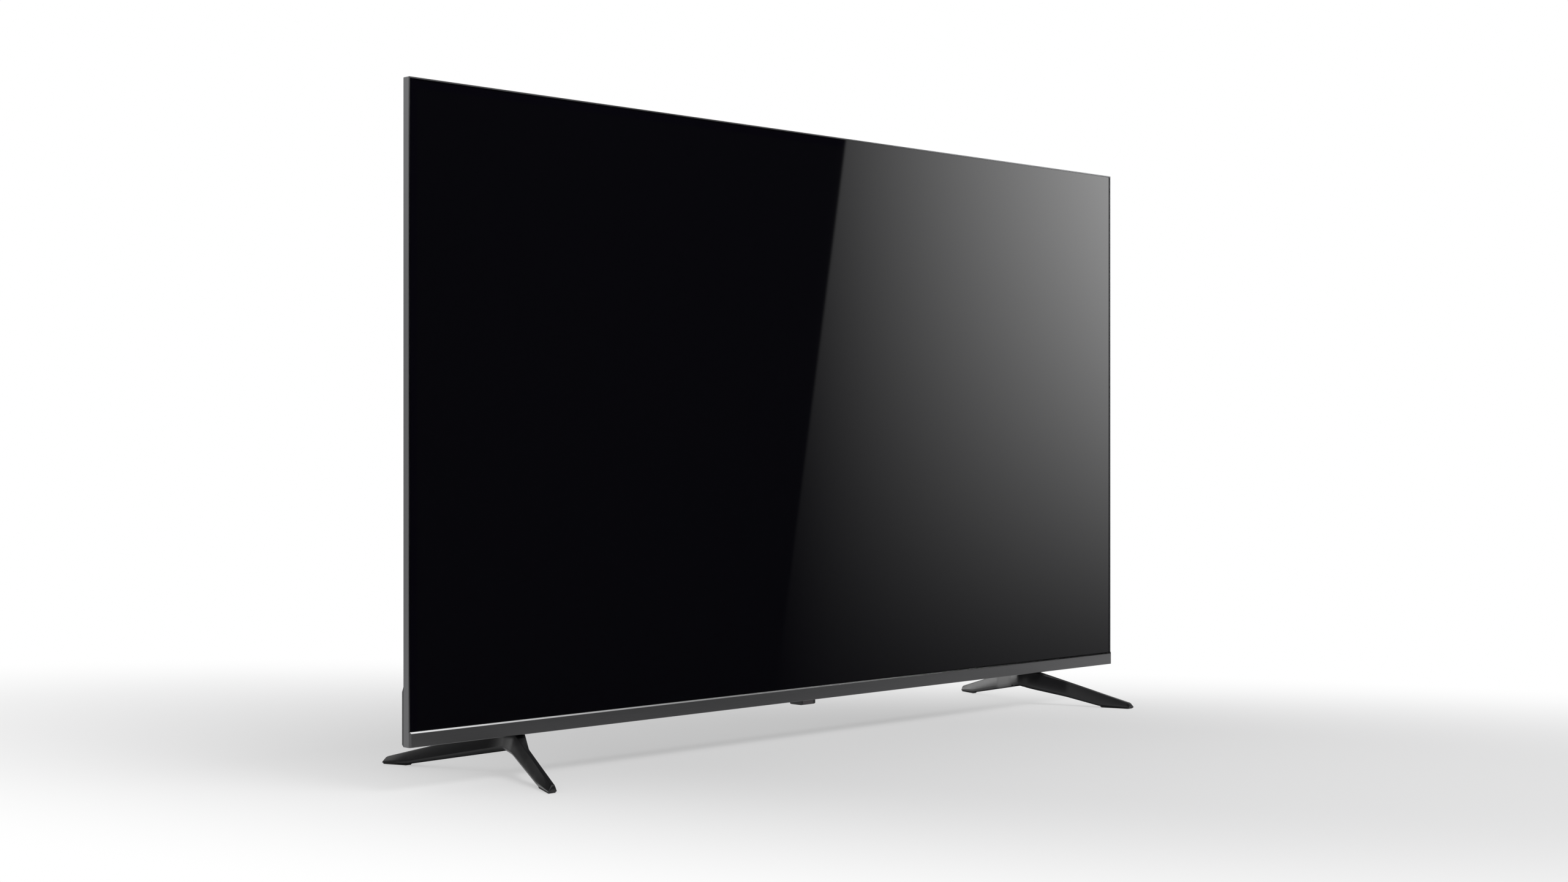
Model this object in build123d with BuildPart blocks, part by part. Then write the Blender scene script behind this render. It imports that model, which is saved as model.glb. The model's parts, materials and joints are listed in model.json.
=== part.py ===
# A flat screen television of the 55 inch class, standing on two splayed feet.
# Millimetres. X runs along the screen, Y from the screen to the back, Z up. The origin lies on the
# table, midway between the two feet and midway between their front and back tips.
import os

from build123d import *

os.makedirs("parts", exist_ok=True)

# Overall sizes
set_width = 1232
set_height = 709
ground_clearance = 47
front_tip_depth = -112
back_tip_depth = 191
fit_gap = 0.3
overrun = 6
small_sides = 12
round_sides = 20

foot_setback = (front_tip_depth + back_tip_depth) / 2
bezel_z = ground_clearance
top_z = bezel_z + set_height
front = -foot_setback

# Depths of the screen's layers, from the front lip backwards
lip_thick = 1.0
cell_thick = 1.6
ledge_thick = 1.0
film_thick = 0.35
plate_thick = 1.6
sheet_thick = 0.5
chassis_thick = 0.8
tray_depth = 17

cell_y = front + lip_thick
ledge_y = cell_y + cell_thick
prism_y = ledge_y + ledge_thick
film_y = prism_y + film_thick
plate_y = film_y + film_thick
rim_y = plate_y + plate_thick
flange_y = rim_y + sheet_thick
flange_back = flange_y + chassis_thick
tray_back = flange_back + tray_depth

# Outer frame section
frame_depth = 9.5
frame_wall = 1.2
lip_width = 1.5
frame_corner = 0.8

frame_back = front + frame_depth
in_half = set_width / 2 - frame_wall - fit_gap
in_top = top_z - frame_wall - fit_gap


def at_depth(y):
    """The upright plane at a depth: sketches there are in X and Z, and a negative extrude goes back."""
    return Plane.XZ.offset(-y)


def at_side(x):
    """The upright plane across the set at x: sketches there are in Y and Z."""
    return Plane.YZ.offset(x)


def at_height(z):
    """The level plane at a height: sketches there are in X and Y."""
    return Plane.XY.offset(z)


def post(radius, sides):
    """A many-sided outline whose corners lie on a circle, for small round pieces that repeat."""
    RegularPolygon(radius, side_count=sides)


def cut_corners(length, width, corner):
    """A rectangle with its four corners cut off, in the sketch that is open."""
    half_x = length / 2
    half_y = width / 2
    quarter = [(half_x - corner, half_y), (half_x, half_y - corner)]
    right = quarter + [(x, -y) for x, y in quarter[::-1]]
    Polygon(*right, *[(-x, y) for x, y in right[::-1]], align=None)


def between(low_x, high_x, low_z, high_z):
    """A rectangle between two pairs of limits, in the sketch that is open."""
    with Locations(((low_x + high_x) / 2, (low_z + high_z) / 2)):
        Rectangle(high_x - low_x, high_z - low_z)


def slab_loft(front_y, front_box, back_y, back_box):
    """A tapered slab between two upright rectangles, each as low x, high x, low z, high z."""
    with BuildPart() as slab:
        with BuildSketch(at_depth(front_y)):
            between(*front_box)
        with BuildSketch(at_depth(back_y)):
            between(*back_box)
        loft()
    return slab.part


def keep(piece, name):
    """Labels a finished piece and writes it to its own file."""
    piece.part.label = name
    export_step(piece.part, f"parts/{name}.step")


# Outer frame: one bent aluminium section round the left, the top and the right
with BuildPart() as outer_frame:
    with BuildSketch(at_depth(front)):
        between(-set_width / 2, set_width / 2, bezel_z, top_z)
    extrude(amount=-frame_depth)
    fillet(outer_frame.edges().filter_by(Axis.Y).group_by(Axis.Z)[-1], radius=frame_corner)
    with BuildSketch(at_depth(front)):
        between(-set_width / 2 + lip_width, set_width / 2 - lip_width, bezel_z - overrun, top_z - lip_width)
    extrude(amount=-lip_thick, mode=Mode.SUBTRACT)
    with BuildSketch(at_depth(front + lip_thick)):
        between(-set_width / 2 + frame_wall, set_width / 2 - frame_wall, bezel_z - overrun, top_z - frame_wall)
    extrude(amount=-frame_depth, mode=Mode.SUBTRACT)
keep(outer_frame, "outer_frame")

# Bottom bezel: the raised strip under the screen, with a polished top chamfer
bezel_proud = 2.25
bezel_face = 14.9
bezel_height = 17.3
bezel_shoulder = 0.2
bezel_bevel = 0.5
bezel_end_bevel = 1.9
bezel_wall = 1.6
bezel_floor_reach = 6.6

bezel_top = bezel_z + bezel_height
bezel_half = set_width / 2 - lip_width - fit_gap
with BuildPart() as bottom_bezel:
    with BuildSketch(at_side(-set_width / 2)):
        with BuildLine():
            Polyline(
                (front, bezel_z),
                (front - bezel_proud + bezel_bevel, bezel_z),
                (front - bezel_proud, bezel_z + bezel_bevel),
                (front - bezel_proud, bezel_z + bezel_face),
                (front - bezel_shoulder, bezel_top),
                (front, bezel_top),
                close=True,
            )
        make_face()
    extrude(amount=set_width)
    chamfer(bottom_bezel.edges().filter_by(Axis.Z).group_by(Axis.Y)[0], length=bezel_end_bevel)
    with BuildSketch(at_depth(front)):
        between(-bezel_half, bezel_half, bezel_top - bezel_wall, bezel_top)
    extrude(amount=-lip_thick)
    with BuildSketch(at_depth(front)):
        between(-bezel_half, bezel_half, bezel_z, bezel_z + bezel_wall)
    extrude(amount=-bezel_floor_reach)
keep(bottom_bezel, "bottom_bezel")

# Liquid crystal cell: the black glass sandwich that is the screen
cell_rise = 7
cell_bottom = bezel_z + cell_rise
with BuildPart() as lcd_cell:
    with BuildSketch(at_depth(cell_y)):
        between(-in_half, in_half, cell_bottom, in_top)
    extrude(amount=-cell_thick)
keep(lcd_cell, "lcd_cell")

# Middle frame: the moulded ring that parts the cell from the backlight
film_room = 1.4
in_bottom = bezel_z + bezel_wall + film_room
ledge_width = 9
ring_wall = 3
chin_ledge = 24
chin_pocket = 19
pocket_half = in_half - ring_wall
pocket_low = bezel_z + chin_pocket
pocket_high = in_top - ring_wall
with BuildPart() as middle_frame:
    with BuildSketch(at_depth(ledge_y)):
        between(-in_half, in_half, in_bottom, in_top)
    extrude(amount=-(flange_y - ledge_y))
    with BuildSketch(at_depth(ledge_y)):
        between(-in_half + ledge_width, in_half - ledge_width, bezel_z + chin_ledge, in_top - ledge_width)
    extrude(amount=-ledge_thick, mode=Mode.SUBTRACT)
    with BuildSketch(at_depth(prism_y)):
        between(-pocket_half, pocket_half, pocket_low, pocket_high)
    extrude(amount=-(flange_y - prism_y), mode=Mode.SUBTRACT)
keep(middle_frame, "middle_frame")

# Optical stack: a prism film, a diffuser film and the stiff diffuser plate
stack_half = pocket_half - fit_gap
stack_low = pocket_low + fit_gap
stack_high = pocket_high - fit_gap
for stack_name, stack_y, stack_thick in (
    ("prism_film", prism_y, film_thick),
    ("diffuser_film", film_y, film_thick),
    ("diffuser_plate", plate_y, plate_thick),
):
    with BuildPart() as stack_sheet:
        with BuildSketch(at_depth(stack_y)):
            between(-stack_half, stack_half, stack_low, stack_high)
        extrude(amount=-stack_thick)
    keep(stack_sheet, stack_name)

# Back chassis: a pressed steel tray that carries everything behind the screen
tray_inset = 16
tray_low_rise = 28
tray_run = 22
tray_half = in_half - tray_inset
tray_low = bezel_z + tray_low_rise
tray_high = in_top - tray_inset
floor_y = tray_back - chassis_thick
floor_half = tray_half - tray_run
floor_low = tray_low + tray_run
floor_high = tray_high - tray_run


def tray_form(grow, mouth_y, bottom_y):
    """The tray's tapered form, grown sideways by one sheet thickness or none."""
    return slab_loft(
        mouth_y,
        (-tray_half - grow, tray_half + grow, tray_low - grow, tray_high + grow),
        bottom_y,
        (-floor_half - grow, floor_half + grow, floor_low - grow, floor_high + grow),
    )


bead_height = 1.6
bead_width = 26
bead_taper = 35
bead_rise_share = 0.86
bead_half_share = 0.42
bead_centre_share = 0.76
bead_length = 170
chassis_mid_z = (floor_low + floor_high) / 2
bead_top_z = floor_low + (floor_high - floor_low) * bead_rise_share
bead_mid_z = floor_low + (floor_high - floor_low) * bead_centre_share
bead_x = set_width * bead_half_share
cover_inset = 0.5
cover_screw_radius = 1.9
cover_screw_inset = 58
post_radius = 6.5
vesa_wide = 300
vesa_tall = 200
vesa_rise = 235
vesa_z = bezel_z + vesa_rise
cover_half = set_width / 2 - cover_inset
cover_screw_x = cover_half - cover_screw_inset
cover_screw_places = [
    (-cover_screw_x, top_z - cover_screw_inset),
    (0, top_z - cover_screw_inset),
    (cover_screw_x, top_z - cover_screw_inset),
    (-cover_screw_x, chassis_mid_z),
    (cover_screw_x, chassis_mid_z),
]
with BuildPart() as back_chassis:
    with BuildSketch(at_depth(flange_y)):
        between(-in_half, in_half, in_bottom, in_top)
    extrude(amount=-chassis_thick)
    add(tray_form(chassis_thick, flange_y, tray_back))
    add(tray_form(0, flange_y, floor_y), mode=Mode.SUBTRACT)
    with BuildSketch(at_depth(tray_back)):
        with Locations((0, bead_top_z)):
            SlotOverall(2 * bead_x, bead_width)
        with Locations((-bead_x + bead_width, bead_mid_z), (bead_x - bead_width, bead_mid_z), (0, bead_mid_z)):
            SlotOverall(bead_length, bead_width)
    extrude(amount=-bead_height, taper=bead_taper)
    with BuildSketch(at_depth(floor_y)):
        with Locations(*cover_screw_places):
            post(cover_screw_radius, small_sides)
    extrude(amount=-chassis_thick, mode=Mode.SUBTRACT)
keep(back_chassis, "back_chassis")

# Light bars, their lenses and the white reflector that lies over the bars
bar_rows = 4
lens_columns = 7
bar_thick = 1.2
bar_width = 14
bar_end_gap = 40
lens_radius = 8
lens_sides = 8
lens_skirt = 1.8
lens_crown = 3.2
lens_taper = 52
lens_hole_gap = 1
pin_rows = 3
pin_columns = 2
pin_radius = 4
pin_taper = 12

bar_length = 2 * (floor_half - bar_end_gap)
bar_pitch = (floor_high - floor_low) / bar_rows
lens_pitch = bar_length / lens_columns
bar_y = floor_y - bar_thick
reflector_floor = bar_y - sheet_thick
with BuildPart() as light_bars:
    with BuildSketch(at_depth(bar_y)):
        with Locations((0, chassis_mid_z)):
            with GridLocations(0, bar_pitch, 1, bar_rows):
                Rectangle(bar_length, bar_width)
    extrude(amount=-bar_thick)
keep(light_bars, "light_bars")

with BuildPart() as led_lenses:
    with BuildSketch(at_depth(bar_y)):
        with Locations((0, chassis_mid_z)):
            with GridLocations(lens_pitch, bar_pitch, lens_columns, bar_rows):
                post(lens_radius, lens_sides)
    extrude(amount=lens_skirt)
    with BuildSketch(at_depth(bar_y - lens_skirt)):
        with Locations((0, chassis_mid_z)):
            with GridLocations(lens_pitch, bar_pitch, lens_columns, bar_rows):
                post(lens_radius, lens_sides)
    extrude(amount=lens_crown, taper=lens_taper)
keep(led_lenses, "led_lenses")

with BuildPart() as reflector_sheet:
    with BuildSketch(at_depth(rim_y)):
        between(-stack_half, stack_half, stack_low, stack_high)
    extrude(amount=-sheet_thick)
    add(tray_form(-fit_gap, flange_y, bar_y))
    add(tray_form(-fit_gap - sheet_thick, rim_y, reflector_floor), mode=Mode.SUBTRACT)
    with BuildSketch(at_depth(reflector_floor)):
        with Locations((0, chassis_mid_z)):
            with GridLocations(lens_pitch, bar_pitch, lens_columns, bar_rows):
                post(lens_radius + lens_hole_gap, lens_sides)
    extrude(amount=-overrun, mode=Mode.SUBTRACT)
keep(reflector_sheet, "reflector_sheet")

pin_height = reflector_floor - rim_y - fit_gap
with BuildPart() as plate_pins:
    with BuildSketch(at_depth(reflector_floor)):
        with Locations((0, chassis_mid_z)):
            with GridLocations(lens_pitch * pin_rows, bar_pitch, pin_columns, pin_rows):
                post(pin_radius, small_sides)
    extrude(amount=pin_height, taper=pin_taper)
keep(plate_pins, "plate_pins")

# Rear cover sizes
cover_wall = 2.2
cover_slope = 36.5
cover_depth = 28.6
cover_bottom_rise = 2
housing_inset = 116
housing_top_rise = 400
housing_bottom_rise = 1.5
housing_depth = 66
housing_side_run = 24
housing_top_run = 30
skirt_proud = 3.1
skirt_chamfer = 2.4
skirt_full_rise = 58
skirt_end_rise = 65.3
tongue_inset = 1.5

thin_back = front + cover_depth
housing_back = front + housing_depth
housing_half = set_width / 2 - housing_inset
inner_back = housing_back - cover_wall

# Sockets recess on one side of the housing and the mains recess on the other
recess_inset = 105
recess_low_rise = 84
recess_high_rise = 262
mains_inset = 70
mains_low_rise = 96
mains_high_rise = 152
recess_floor = 2

recess_x = housing_half - recess_inset
mains_x = housing_half - mains_inset
recess_low = bezel_z + recess_low_rise
recess_high = bezel_z + recess_high_rise
mains_low = bezel_z + mains_low_rise
mains_high = bezel_z + mains_high_rise
notch_front = thin_back + recess_floor

# Boards behind the chassis
board_thick = 1.6
board_gap = 8.8
board_low_rise = 84
board_high_rise = 262
main_post_gap = 34
power_post_gap = 40
main_edge_gap = 1.8
power_overhang = 19
panel_board_half = 90
panel_board_low_rise = 70
panel_board_high_rise = 112
panel_board_gap = 4
spacer_radius = 3
spacer_inset = 7

main_low_x = vesa_wide / 2 + main_post_gap
main_high_x = recess_x - cover_wall - main_edge_gap
power_low_x = power_overhang - mains_x
power_high_x = -vesa_wide / 2 - power_post_gap
board_low = bezel_z + board_low_rise
board_high = bezel_z + board_high_rise
panel_board_low = bezel_z + panel_board_low_rise
panel_board_high = bezel_z + panel_board_high_rise
board_y = tray_back + board_gap
board_back = board_y + board_thick
panel_board_y = tray_back + panel_board_gap
panel_board_back = panel_board_y + board_thick
board_boxes = (
    ("main_board", board_y, (main_low_x, main_high_x, board_low, board_high)),
    ("power_board", board_y, (power_low_x, power_high_x, board_low, board_high)),
    ("timing_board", panel_board_y, (-panel_board_half, panel_board_half, panel_board_low, panel_board_high)),
)
for board_name, y, box in board_boxes:
    with BuildPart() as board:
        with BuildSketch(at_depth(y)):
            between(*box)
        extrude(amount=-board_thick)
        fillet(board.edges().filter_by(Axis.Y), radius=board_thick)
    keep(board, board_name)

with BuildPart() as board_spacers:
    for _, y, (low_x, high_x, low_z, high_z) in board_boxes:
        with BuildSketch(at_depth(tray_back)):
            with Locations(((low_x + high_x) / 2, (low_z + high_z) / 2)):
                with GridLocations(high_x - low_x - 2 * spacer_inset, high_z - low_z - 2 * spacer_inset, 2, 2):
                    RegularPolygon(spacer_radius, side_count=6)
        extrude(amount=-(y - tray_back))
keep(board_spacers, "board_spacers")

# Sockets on the edge of the main board: name, width along the board, height off it, rise of the middle
socket_depth = 18
socket_shell = 0.6
socket_seat = 0.4
socket_reach = 11
aerial_radius = 4.75
aerial_bore = 2.6
aerial_rise = 252
inlet_lift = 1
inlet_width = 12
inlet_height = 24
inlet_length = 24
inlet_foot = 8
inlet_reach = 12
inlet_bore_length = 14.4
inlet_bore_width = 8.4
inlet_pin_pitch = 8.6
inlet_pin_radius = 1.15
inlet_pin_length = 9
socket_sizes = (
    ("video_sockets", 15.2, 5.8, (104, 130, 156)),
    ("data_sockets", 13.8, 6.4, (178, 196)),
    ("network_socket", 16, 13.4, (218,)),
    ("optical_socket", 10, 9.6, (238,)),
)
socket_y = board_back + socket_seat
side_sockets = [
    (name, socket_y, socket_y + height, bezel_z + rise - width / 2, bezel_z + rise + width / 2)
    for name, width, height, rises in socket_sizes
    for rise in rises
]
aerial_z = bezel_z + aerial_rise
aerial_y = socket_y + aerial_radius
inlet_low_y = socket_y + inlet_lift
inlet_high_y = inlet_low_y + inlet_width
inlet_low = (mains_low + mains_high - inlet_height) / 2
inlet_high = inlet_low + inlet_height
for socket_name in [name for name, _, _, _ in socket_sizes]:
    with BuildPart() as socket:
        for name, low_y, high_y, low_z, high_z in side_sockets:
            if name == socket_name:
                with BuildSketch(at_side(recess_x - socket_depth)):
                    between(low_y, high_y, low_z, high_z)
                extrude(amount=socket_depth)
                with BuildSketch(at_side(recess_x)):
                    between(low_y + socket_shell, high_y - socket_shell, low_z + socket_shell, high_z - socket_shell)
                extrude(amount=-socket_reach, mode=Mode.SUBTRACT)
                with BuildSketch(at_side(recess_x - socket_depth)):
                    between(board_back, low_y, low_z + socket_shell, high_z - socket_shell)
                extrude(amount=socket_depth / 2)
    keep(socket, socket_name)

# Foot seats
foot_inset = 42
seat_half = 27
seat_front = 12
seat_back = 60
seat_thick = 5.5
foot_screw_radius = 2
foot_screw_x_share = 0.25
foot_screw_depths = (26, 46)
foot_screw_grip = 9
foot_head_radius = 3.6
foot_head_height = 2.6

foot_x = housing_half - foot_inset
seat_screw_x = foot_x + seat_half * foot_screw_x_share - seat_half / 2
seat_places = [(side * seat_screw_x, front + depth) for side in (-1, 1) for depth in foot_screw_depths]

# Speaker, button and vent places
speaker_inset = 180
speaker_half = 84
speaker_low_rise = 6.5
speaker_high_rise = 64
speaker_front = 29
speaker_back = 61
speaker_x = housing_half - speaker_inset
speaker_mid = front + (speaker_front + speaker_back) / 2
pod_half = 12.8
pod_front_depth = 12.9
pod_back_depth = 32.6
vent_slot_length = 30
vent_slot_width = 4
vent_pitch_x = 36
vent_pitch_z = 10
vent_group_pitch = 280
vent_groups = 3
vent_columns = 5
vent_rows = 3
vent_rise = 346
grille_slot_width = 3
grille_slot_length = 24
grille_pitch = 8
grille_count = 14
cover_boss_radius = 7
cover_round = 2.5
cover_head_radius = 3.6
cover_head_height = 1.8


def thin_form(shrink, front_y, back_y):
    """The thin part of the cover, drawn in by a wall thickness or none."""
    low = bezel_z + shrink
    wide = (-cover_half + shrink, cover_half - shrink, low, bezel_z + set_height - cover_inset - shrink)
    run = cover_slope + shrink / 2
    narrow = (
        -cover_half + run,
        cover_half - run,
        low + cover_bottom_rise,
        bezel_z + set_height - cover_inset - run,
    )
    return slab_loft(front_y, wide, back_y, narrow)


def housing_form(shrink, front_y, back_y):
    """The thick lower housing, drawn in by a wall thickness or none."""
    low = bezel_z + housing_bottom_rise + shrink
    high = bezel_z + housing_top_rise - shrink
    half = housing_half - shrink
    return slab_loft(
        front_y,
        (-half, half, low, high),
        back_y,
        (-half + housing_side_run, half - housing_side_run, low + cover_bottom_rise, high - housing_top_run),
    )


seat_y = front + (seat_front + seat_back) / 2
with BuildPart() as cover_notches:
    with BuildSketch(at_depth(notch_front)):
        between(recess_x, housing_half + overrun, recess_low, recess_high)
        between(-housing_half - overrun, -mains_x, mains_low, mains_high)
    extrude(amount=-(housing_depth - cover_depth + overrun))
with BuildPart() as cover_hollow:
    add(thin_form(cover_wall, frame_back, thin_back - cover_wall))
    add(housing_form(cover_wall, thin_back - cover_wall, inner_back))
    with BuildSketch(at_depth(flange_back)):
        between(
            -set_width / 2 + tongue_inset + cover_wall,
            set_width / 2 - tongue_inset - cover_wall,
            bezel_z + cover_wall,
            top_z - tongue_inset - cover_wall,
        )
    extrude(amount=-(frame_back - flange_back))
    with BuildSketch(at_depth(notch_front - cover_wall)):
        between(recess_x - cover_wall, housing_half, recess_low - cover_wall, recess_high + cover_wall)
        between(-housing_half, -mains_x + cover_wall, mains_low - cover_wall, mains_high + cover_wall)
    extrude(amount=-housing_depth, mode=Mode.SUBTRACT)
with BuildPart() as rear_cover:
    add(thin_form(0, frame_back, thin_back))
    add(housing_form(0, thin_back - cover_wall, housing_back))
    with BuildSketch(at_depth(flange_back)):
        between(
            -set_width / 2 + tongue_inset,
            set_width / 2 - tongue_inset,
            bezel_z,
            top_z - tongue_inset,
        )
    extrude(amount=-(frame_back - flange_back))
    with BuildSketch(at_side(-cover_half)):
        with BuildLine():
            Polyline(
                (frame_back, bezel_z),
                (frame_back + skirt_proud - skirt_chamfer, bezel_z),
                (frame_back + skirt_proud, bezel_z + skirt_chamfer),
                (frame_back + skirt_proud, bezel_z + skirt_full_rise),
                (frame_back, bezel_z + skirt_end_rise),
                close=True,
            )
        make_face()
    extrude(amount=2 * cover_half)
    add(cover_hollow.part, mode=Mode.SUBTRACT)
    add(cover_notches.part, mode=Mode.SUBTRACT)
    with BuildSketch(at_height(bezel_z)):
        with Locations((-foot_x, seat_y), (foot_x, seat_y)):
            Rectangle(2 * seat_half, seat_back - seat_front)
    extrude(amount=seat_thick)
    with BuildSketch(at_height(bezel_z)):
        with Locations(*seat_places):
            post(foot_screw_radius + fit_gap, small_sides)
    extrude(amount=seat_thick, mode=Mode.SUBTRACT)
    with BuildSketch(at_depth(inner_back)):
        with Locations((0, vesa_z)):
            with GridLocations(vesa_wide, vesa_tall, 2, 2):
                post(post_radius + fit_gap, round_sides)
    extrude(amount=-cover_wall, mode=Mode.SUBTRACT)
    with BuildSketch(at_depth(inner_back)):
        with Locations((0, bezel_z + vent_rise)):
            with GridLocations(vent_group_pitch, 0, vent_groups, 1):
                with GridLocations(vent_pitch_x, vent_pitch_z, vent_columns, vent_rows):
                    Rectangle(vent_slot_length, vent_slot_width)
    extrude(amount=-cover_wall, mode=Mode.SUBTRACT)
    with BuildSketch(at_height(bezel_z)):
        with Locations((-speaker_x, speaker_mid), (speaker_x, speaker_mid)):
            with GridLocations(grille_pitch, 0, grille_count, 1):
                Rectangle(grille_slot_width, grille_slot_length)
    extrude(amount=speaker_low_rise + cover_wall, mode=Mode.SUBTRACT)
    with BuildSketch(at_depth(tray_back)):
        with Locations(*cover_screw_places):
            post(cover_boss_radius, round_sides)
    extrude(amount=-(thin_back - tray_back))
    with BuildSketch(at_depth(tray_back)):
        with Locations(*cover_screw_places):
            post(cover_screw_radius + fit_gap, small_sides)
    extrude(amount=-(thin_back - tray_back), mode=Mode.SUBTRACT)
    with BuildSketch(at_depth(thin_back)):
        with Locations(*cover_screw_places):
            post(cover_head_radius + fit_gap, small_sides)
    extrude(amount=cover_head_height, mode=Mode.SUBTRACT)
    fillet(rear_cover.faces().filter_by(Axis.Y).sort_by(Axis.Y)[-1].outer_wire().edges(), radius=cover_round)
    with BuildSketch(at_side(recess_x - cover_wall)):
        for _, low_y, high_y, low_z, high_z in side_sockets:
            between(low_y - fit_gap, high_y + fit_gap, low_z - fit_gap, high_z + fit_gap)
        with Locations((aerial_y, aerial_z)):
            post(aerial_radius + fit_gap, round_sides)
    extrude(amount=cover_wall, mode=Mode.SUBTRACT)
    with BuildSketch(at_side(-mains_x)):
        between(inlet_low_y - fit_gap, inlet_high_y + fit_gap, inlet_low - fit_gap, inlet_high + fit_gap)
    extrude(amount=cover_wall, mode=Mode.SUBTRACT)
keep(rear_cover, "rear_cover")

# Wall mounting posts, each with a threaded bore, between the chassis and the back of the cover
post_bore = 3
post_bore_depth = 16
with BuildPart() as mounting_posts:
    with BuildSketch(at_depth(tray_back)):
        with Locations((0, vesa_z)):
            with GridLocations(vesa_wide, vesa_tall, 2, 2):
                RegularPolygon(post_radius, side_count=6)
    extrude(amount=-(housing_back - tray_back))
    with BuildSketch(at_depth(housing_back)):
        with Locations((0, vesa_z)):
            with GridLocations(vesa_wide, vesa_tall, 2, 2):
                Circle(post_bore)
    extrude(amount=post_bore_depth, mode=Mode.SUBTRACT)
keep(mounting_posts, "mounting_posts")

with BuildPart() as cover_screws:
    with BuildSketch(at_depth(floor_y)):
        with Locations(*cover_screw_places):
            post(cover_screw_radius, small_sides)
    extrude(amount=-(thin_back - floor_y - cover_head_height))
    with BuildSketch(at_depth(thin_back - cover_head_height)):
        with Locations(*cover_screw_places):
            post(cover_head_radius, small_sides)
    extrude(amount=-cover_head_height)
keep(cover_screws, "cover_screws")

# Aerial socket: a threaded barrel with a contact bore
with BuildPart() as aerial_socket:
    with BuildSketch(at_side(recess_x - socket_depth)):
        between(board_back, socket_y + aerial_radius * 2, aerial_z - aerial_radius, aerial_z + aerial_radius)
    extrude(amount=socket_depth - socket_reach)
    with BuildSketch(at_side(recess_x - socket_reach)):
        with Locations((aerial_y, aerial_z)):
            Circle(aerial_radius)
    extrude(amount=socket_reach)
    with BuildSketch(at_side(recess_x)):
        with Locations((aerial_y, aerial_z)):
            Circle(aerial_bore)
    extrude(amount=-socket_reach, mode=Mode.SUBTRACT)
keep(aerial_socket, "aerial_socket")

# Mains inlet: a two-pin figure-eight socket
with BuildPart() as mains_inlet:
    with BuildSketch(at_side(-mains_x)):
        between(inlet_low_y, inlet_high_y, inlet_low, inlet_high)
    extrude(amount=inlet_length)
    with BuildSketch(at_side(-mains_x)):
        with Locations(((inlet_low_y + inlet_high_y) / 2, (inlet_low + inlet_high) / 2)):
            SlotOverall(inlet_bore_length, inlet_bore_width, rotation=90)
    extrude(amount=inlet_reach, mode=Mode.SUBTRACT)
    with BuildSketch(at_side(-mains_x + inlet_length - inlet_foot)):
        between(board_back, inlet_low_y, inlet_low, inlet_high)
    extrude(amount=inlet_foot)
    with BuildSketch(at_side(-mains_x + inlet_reach)):
        with Locations(((inlet_low_y + inlet_high_y) / 2, (inlet_low + inlet_high) / 2)):
            with GridLocations(0, inlet_pin_pitch, 1, 2):
                Circle(inlet_pin_radius)
    extrude(amount=-inlet_pin_length)
keep(mains_inlet, "mains_inlet")

# Power parts: two transformers, a row of capacitors and a folded cooling plate
transformer_size = 30
transformer_depth = 22
core_share = 0.55
capacitor_radius = 8
capacitor_height = 24
capacitor_pitch = 20
capacitor_count = 3
capacitor_rim = 1
sink_thick = 2.5
sink_width = 40
sink_height = 22
sink_foot = 12
power_mid_x = (power_low_x + power_high_x) / 2
board_mid = (board_low + board_high) / 2
transformer_rise = 44
transformer_pitch = 62
capacitor_drop = 46
with BuildPart() as transformers:
    with BuildSketch(at_depth(board_back)):
        with Locations((power_mid_x, board_mid + transformer_rise)):
            with GridLocations(transformer_pitch, 0, 2, 1):
                Rectangle(transformer_size, transformer_size)
    extrude(amount=-transformer_depth * core_share)
    with BuildSketch(at_depth(board_back)):
        with Locations((power_mid_x, board_mid + transformer_rise)):
            with GridLocations(transformer_pitch, 0, 2, 1):
                Rectangle(transformer_size * core_share, transformer_size)
    extrude(amount=-transformer_depth)
    chamfer(transformers.faces().sort_by(Axis.Y)[-2:].edges(), length=capacitor_rim)
keep(transformers, "transformers")

with BuildPart() as capacitors:
    with BuildSketch(at_depth(board_back)):
        with Locations((power_mid_x, board_mid - capacitor_drop)):
            with GridLocations(capacitor_pitch, 0, capacitor_count, 1):
                post(capacitor_radius, round_sides)
    extrude(amount=-capacitor_height)
    chamfer(capacitors.faces().sort_by(Axis.Y)[-capacitor_count:].edges(), length=capacitor_rim)
keep(capacitors, "capacitors")

with BuildPart() as power_heat_sink:
    with BuildSketch(at_height(board_mid - capacitor_drop / 2)):
        with BuildLine():
            Polyline(
                (power_mid_x, board_back),
                (power_mid_x + sink_foot, board_back),
                (power_mid_x + sink_foot, board_back + sink_thick),
                (power_mid_x + sink_thick, board_back + sink_thick),
                (power_mid_x + sink_thick, board_back + sink_height),
                (power_mid_x, board_back + sink_height),
                close=True,
            )
        make_face()
    extrude(amount=sink_width)
keep(power_heat_sink, "power_heat_sink")

# Main board parts: the processor's finned heat sink and the wireless module
fin_base = 3
fin_height = 13
fin_thick = 1.6
fin_pitch = 6
fin_count = 8
fin_side = 48
module_length = 34
module_width = 18
module_thick = 2.4
main_mid_x = (main_low_x + main_high_x) / 2
module_drop = 66
with BuildPart() as main_heat_sink:
    with BuildSketch(at_depth(board_back)):
        with Locations((main_mid_x, board_mid)):
            Rectangle(fin_side, fin_side)
    extrude(amount=-fin_base)
    with BuildSketch(at_depth(board_back + fin_base)):
        with Locations((main_mid_x, board_mid)):
            with GridLocations(fin_pitch, 0, fin_count, 1):
                Rectangle(fin_thick, fin_side)
    extrude(amount=-fin_height)
keep(main_heat_sink, "main_heat_sink")

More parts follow.
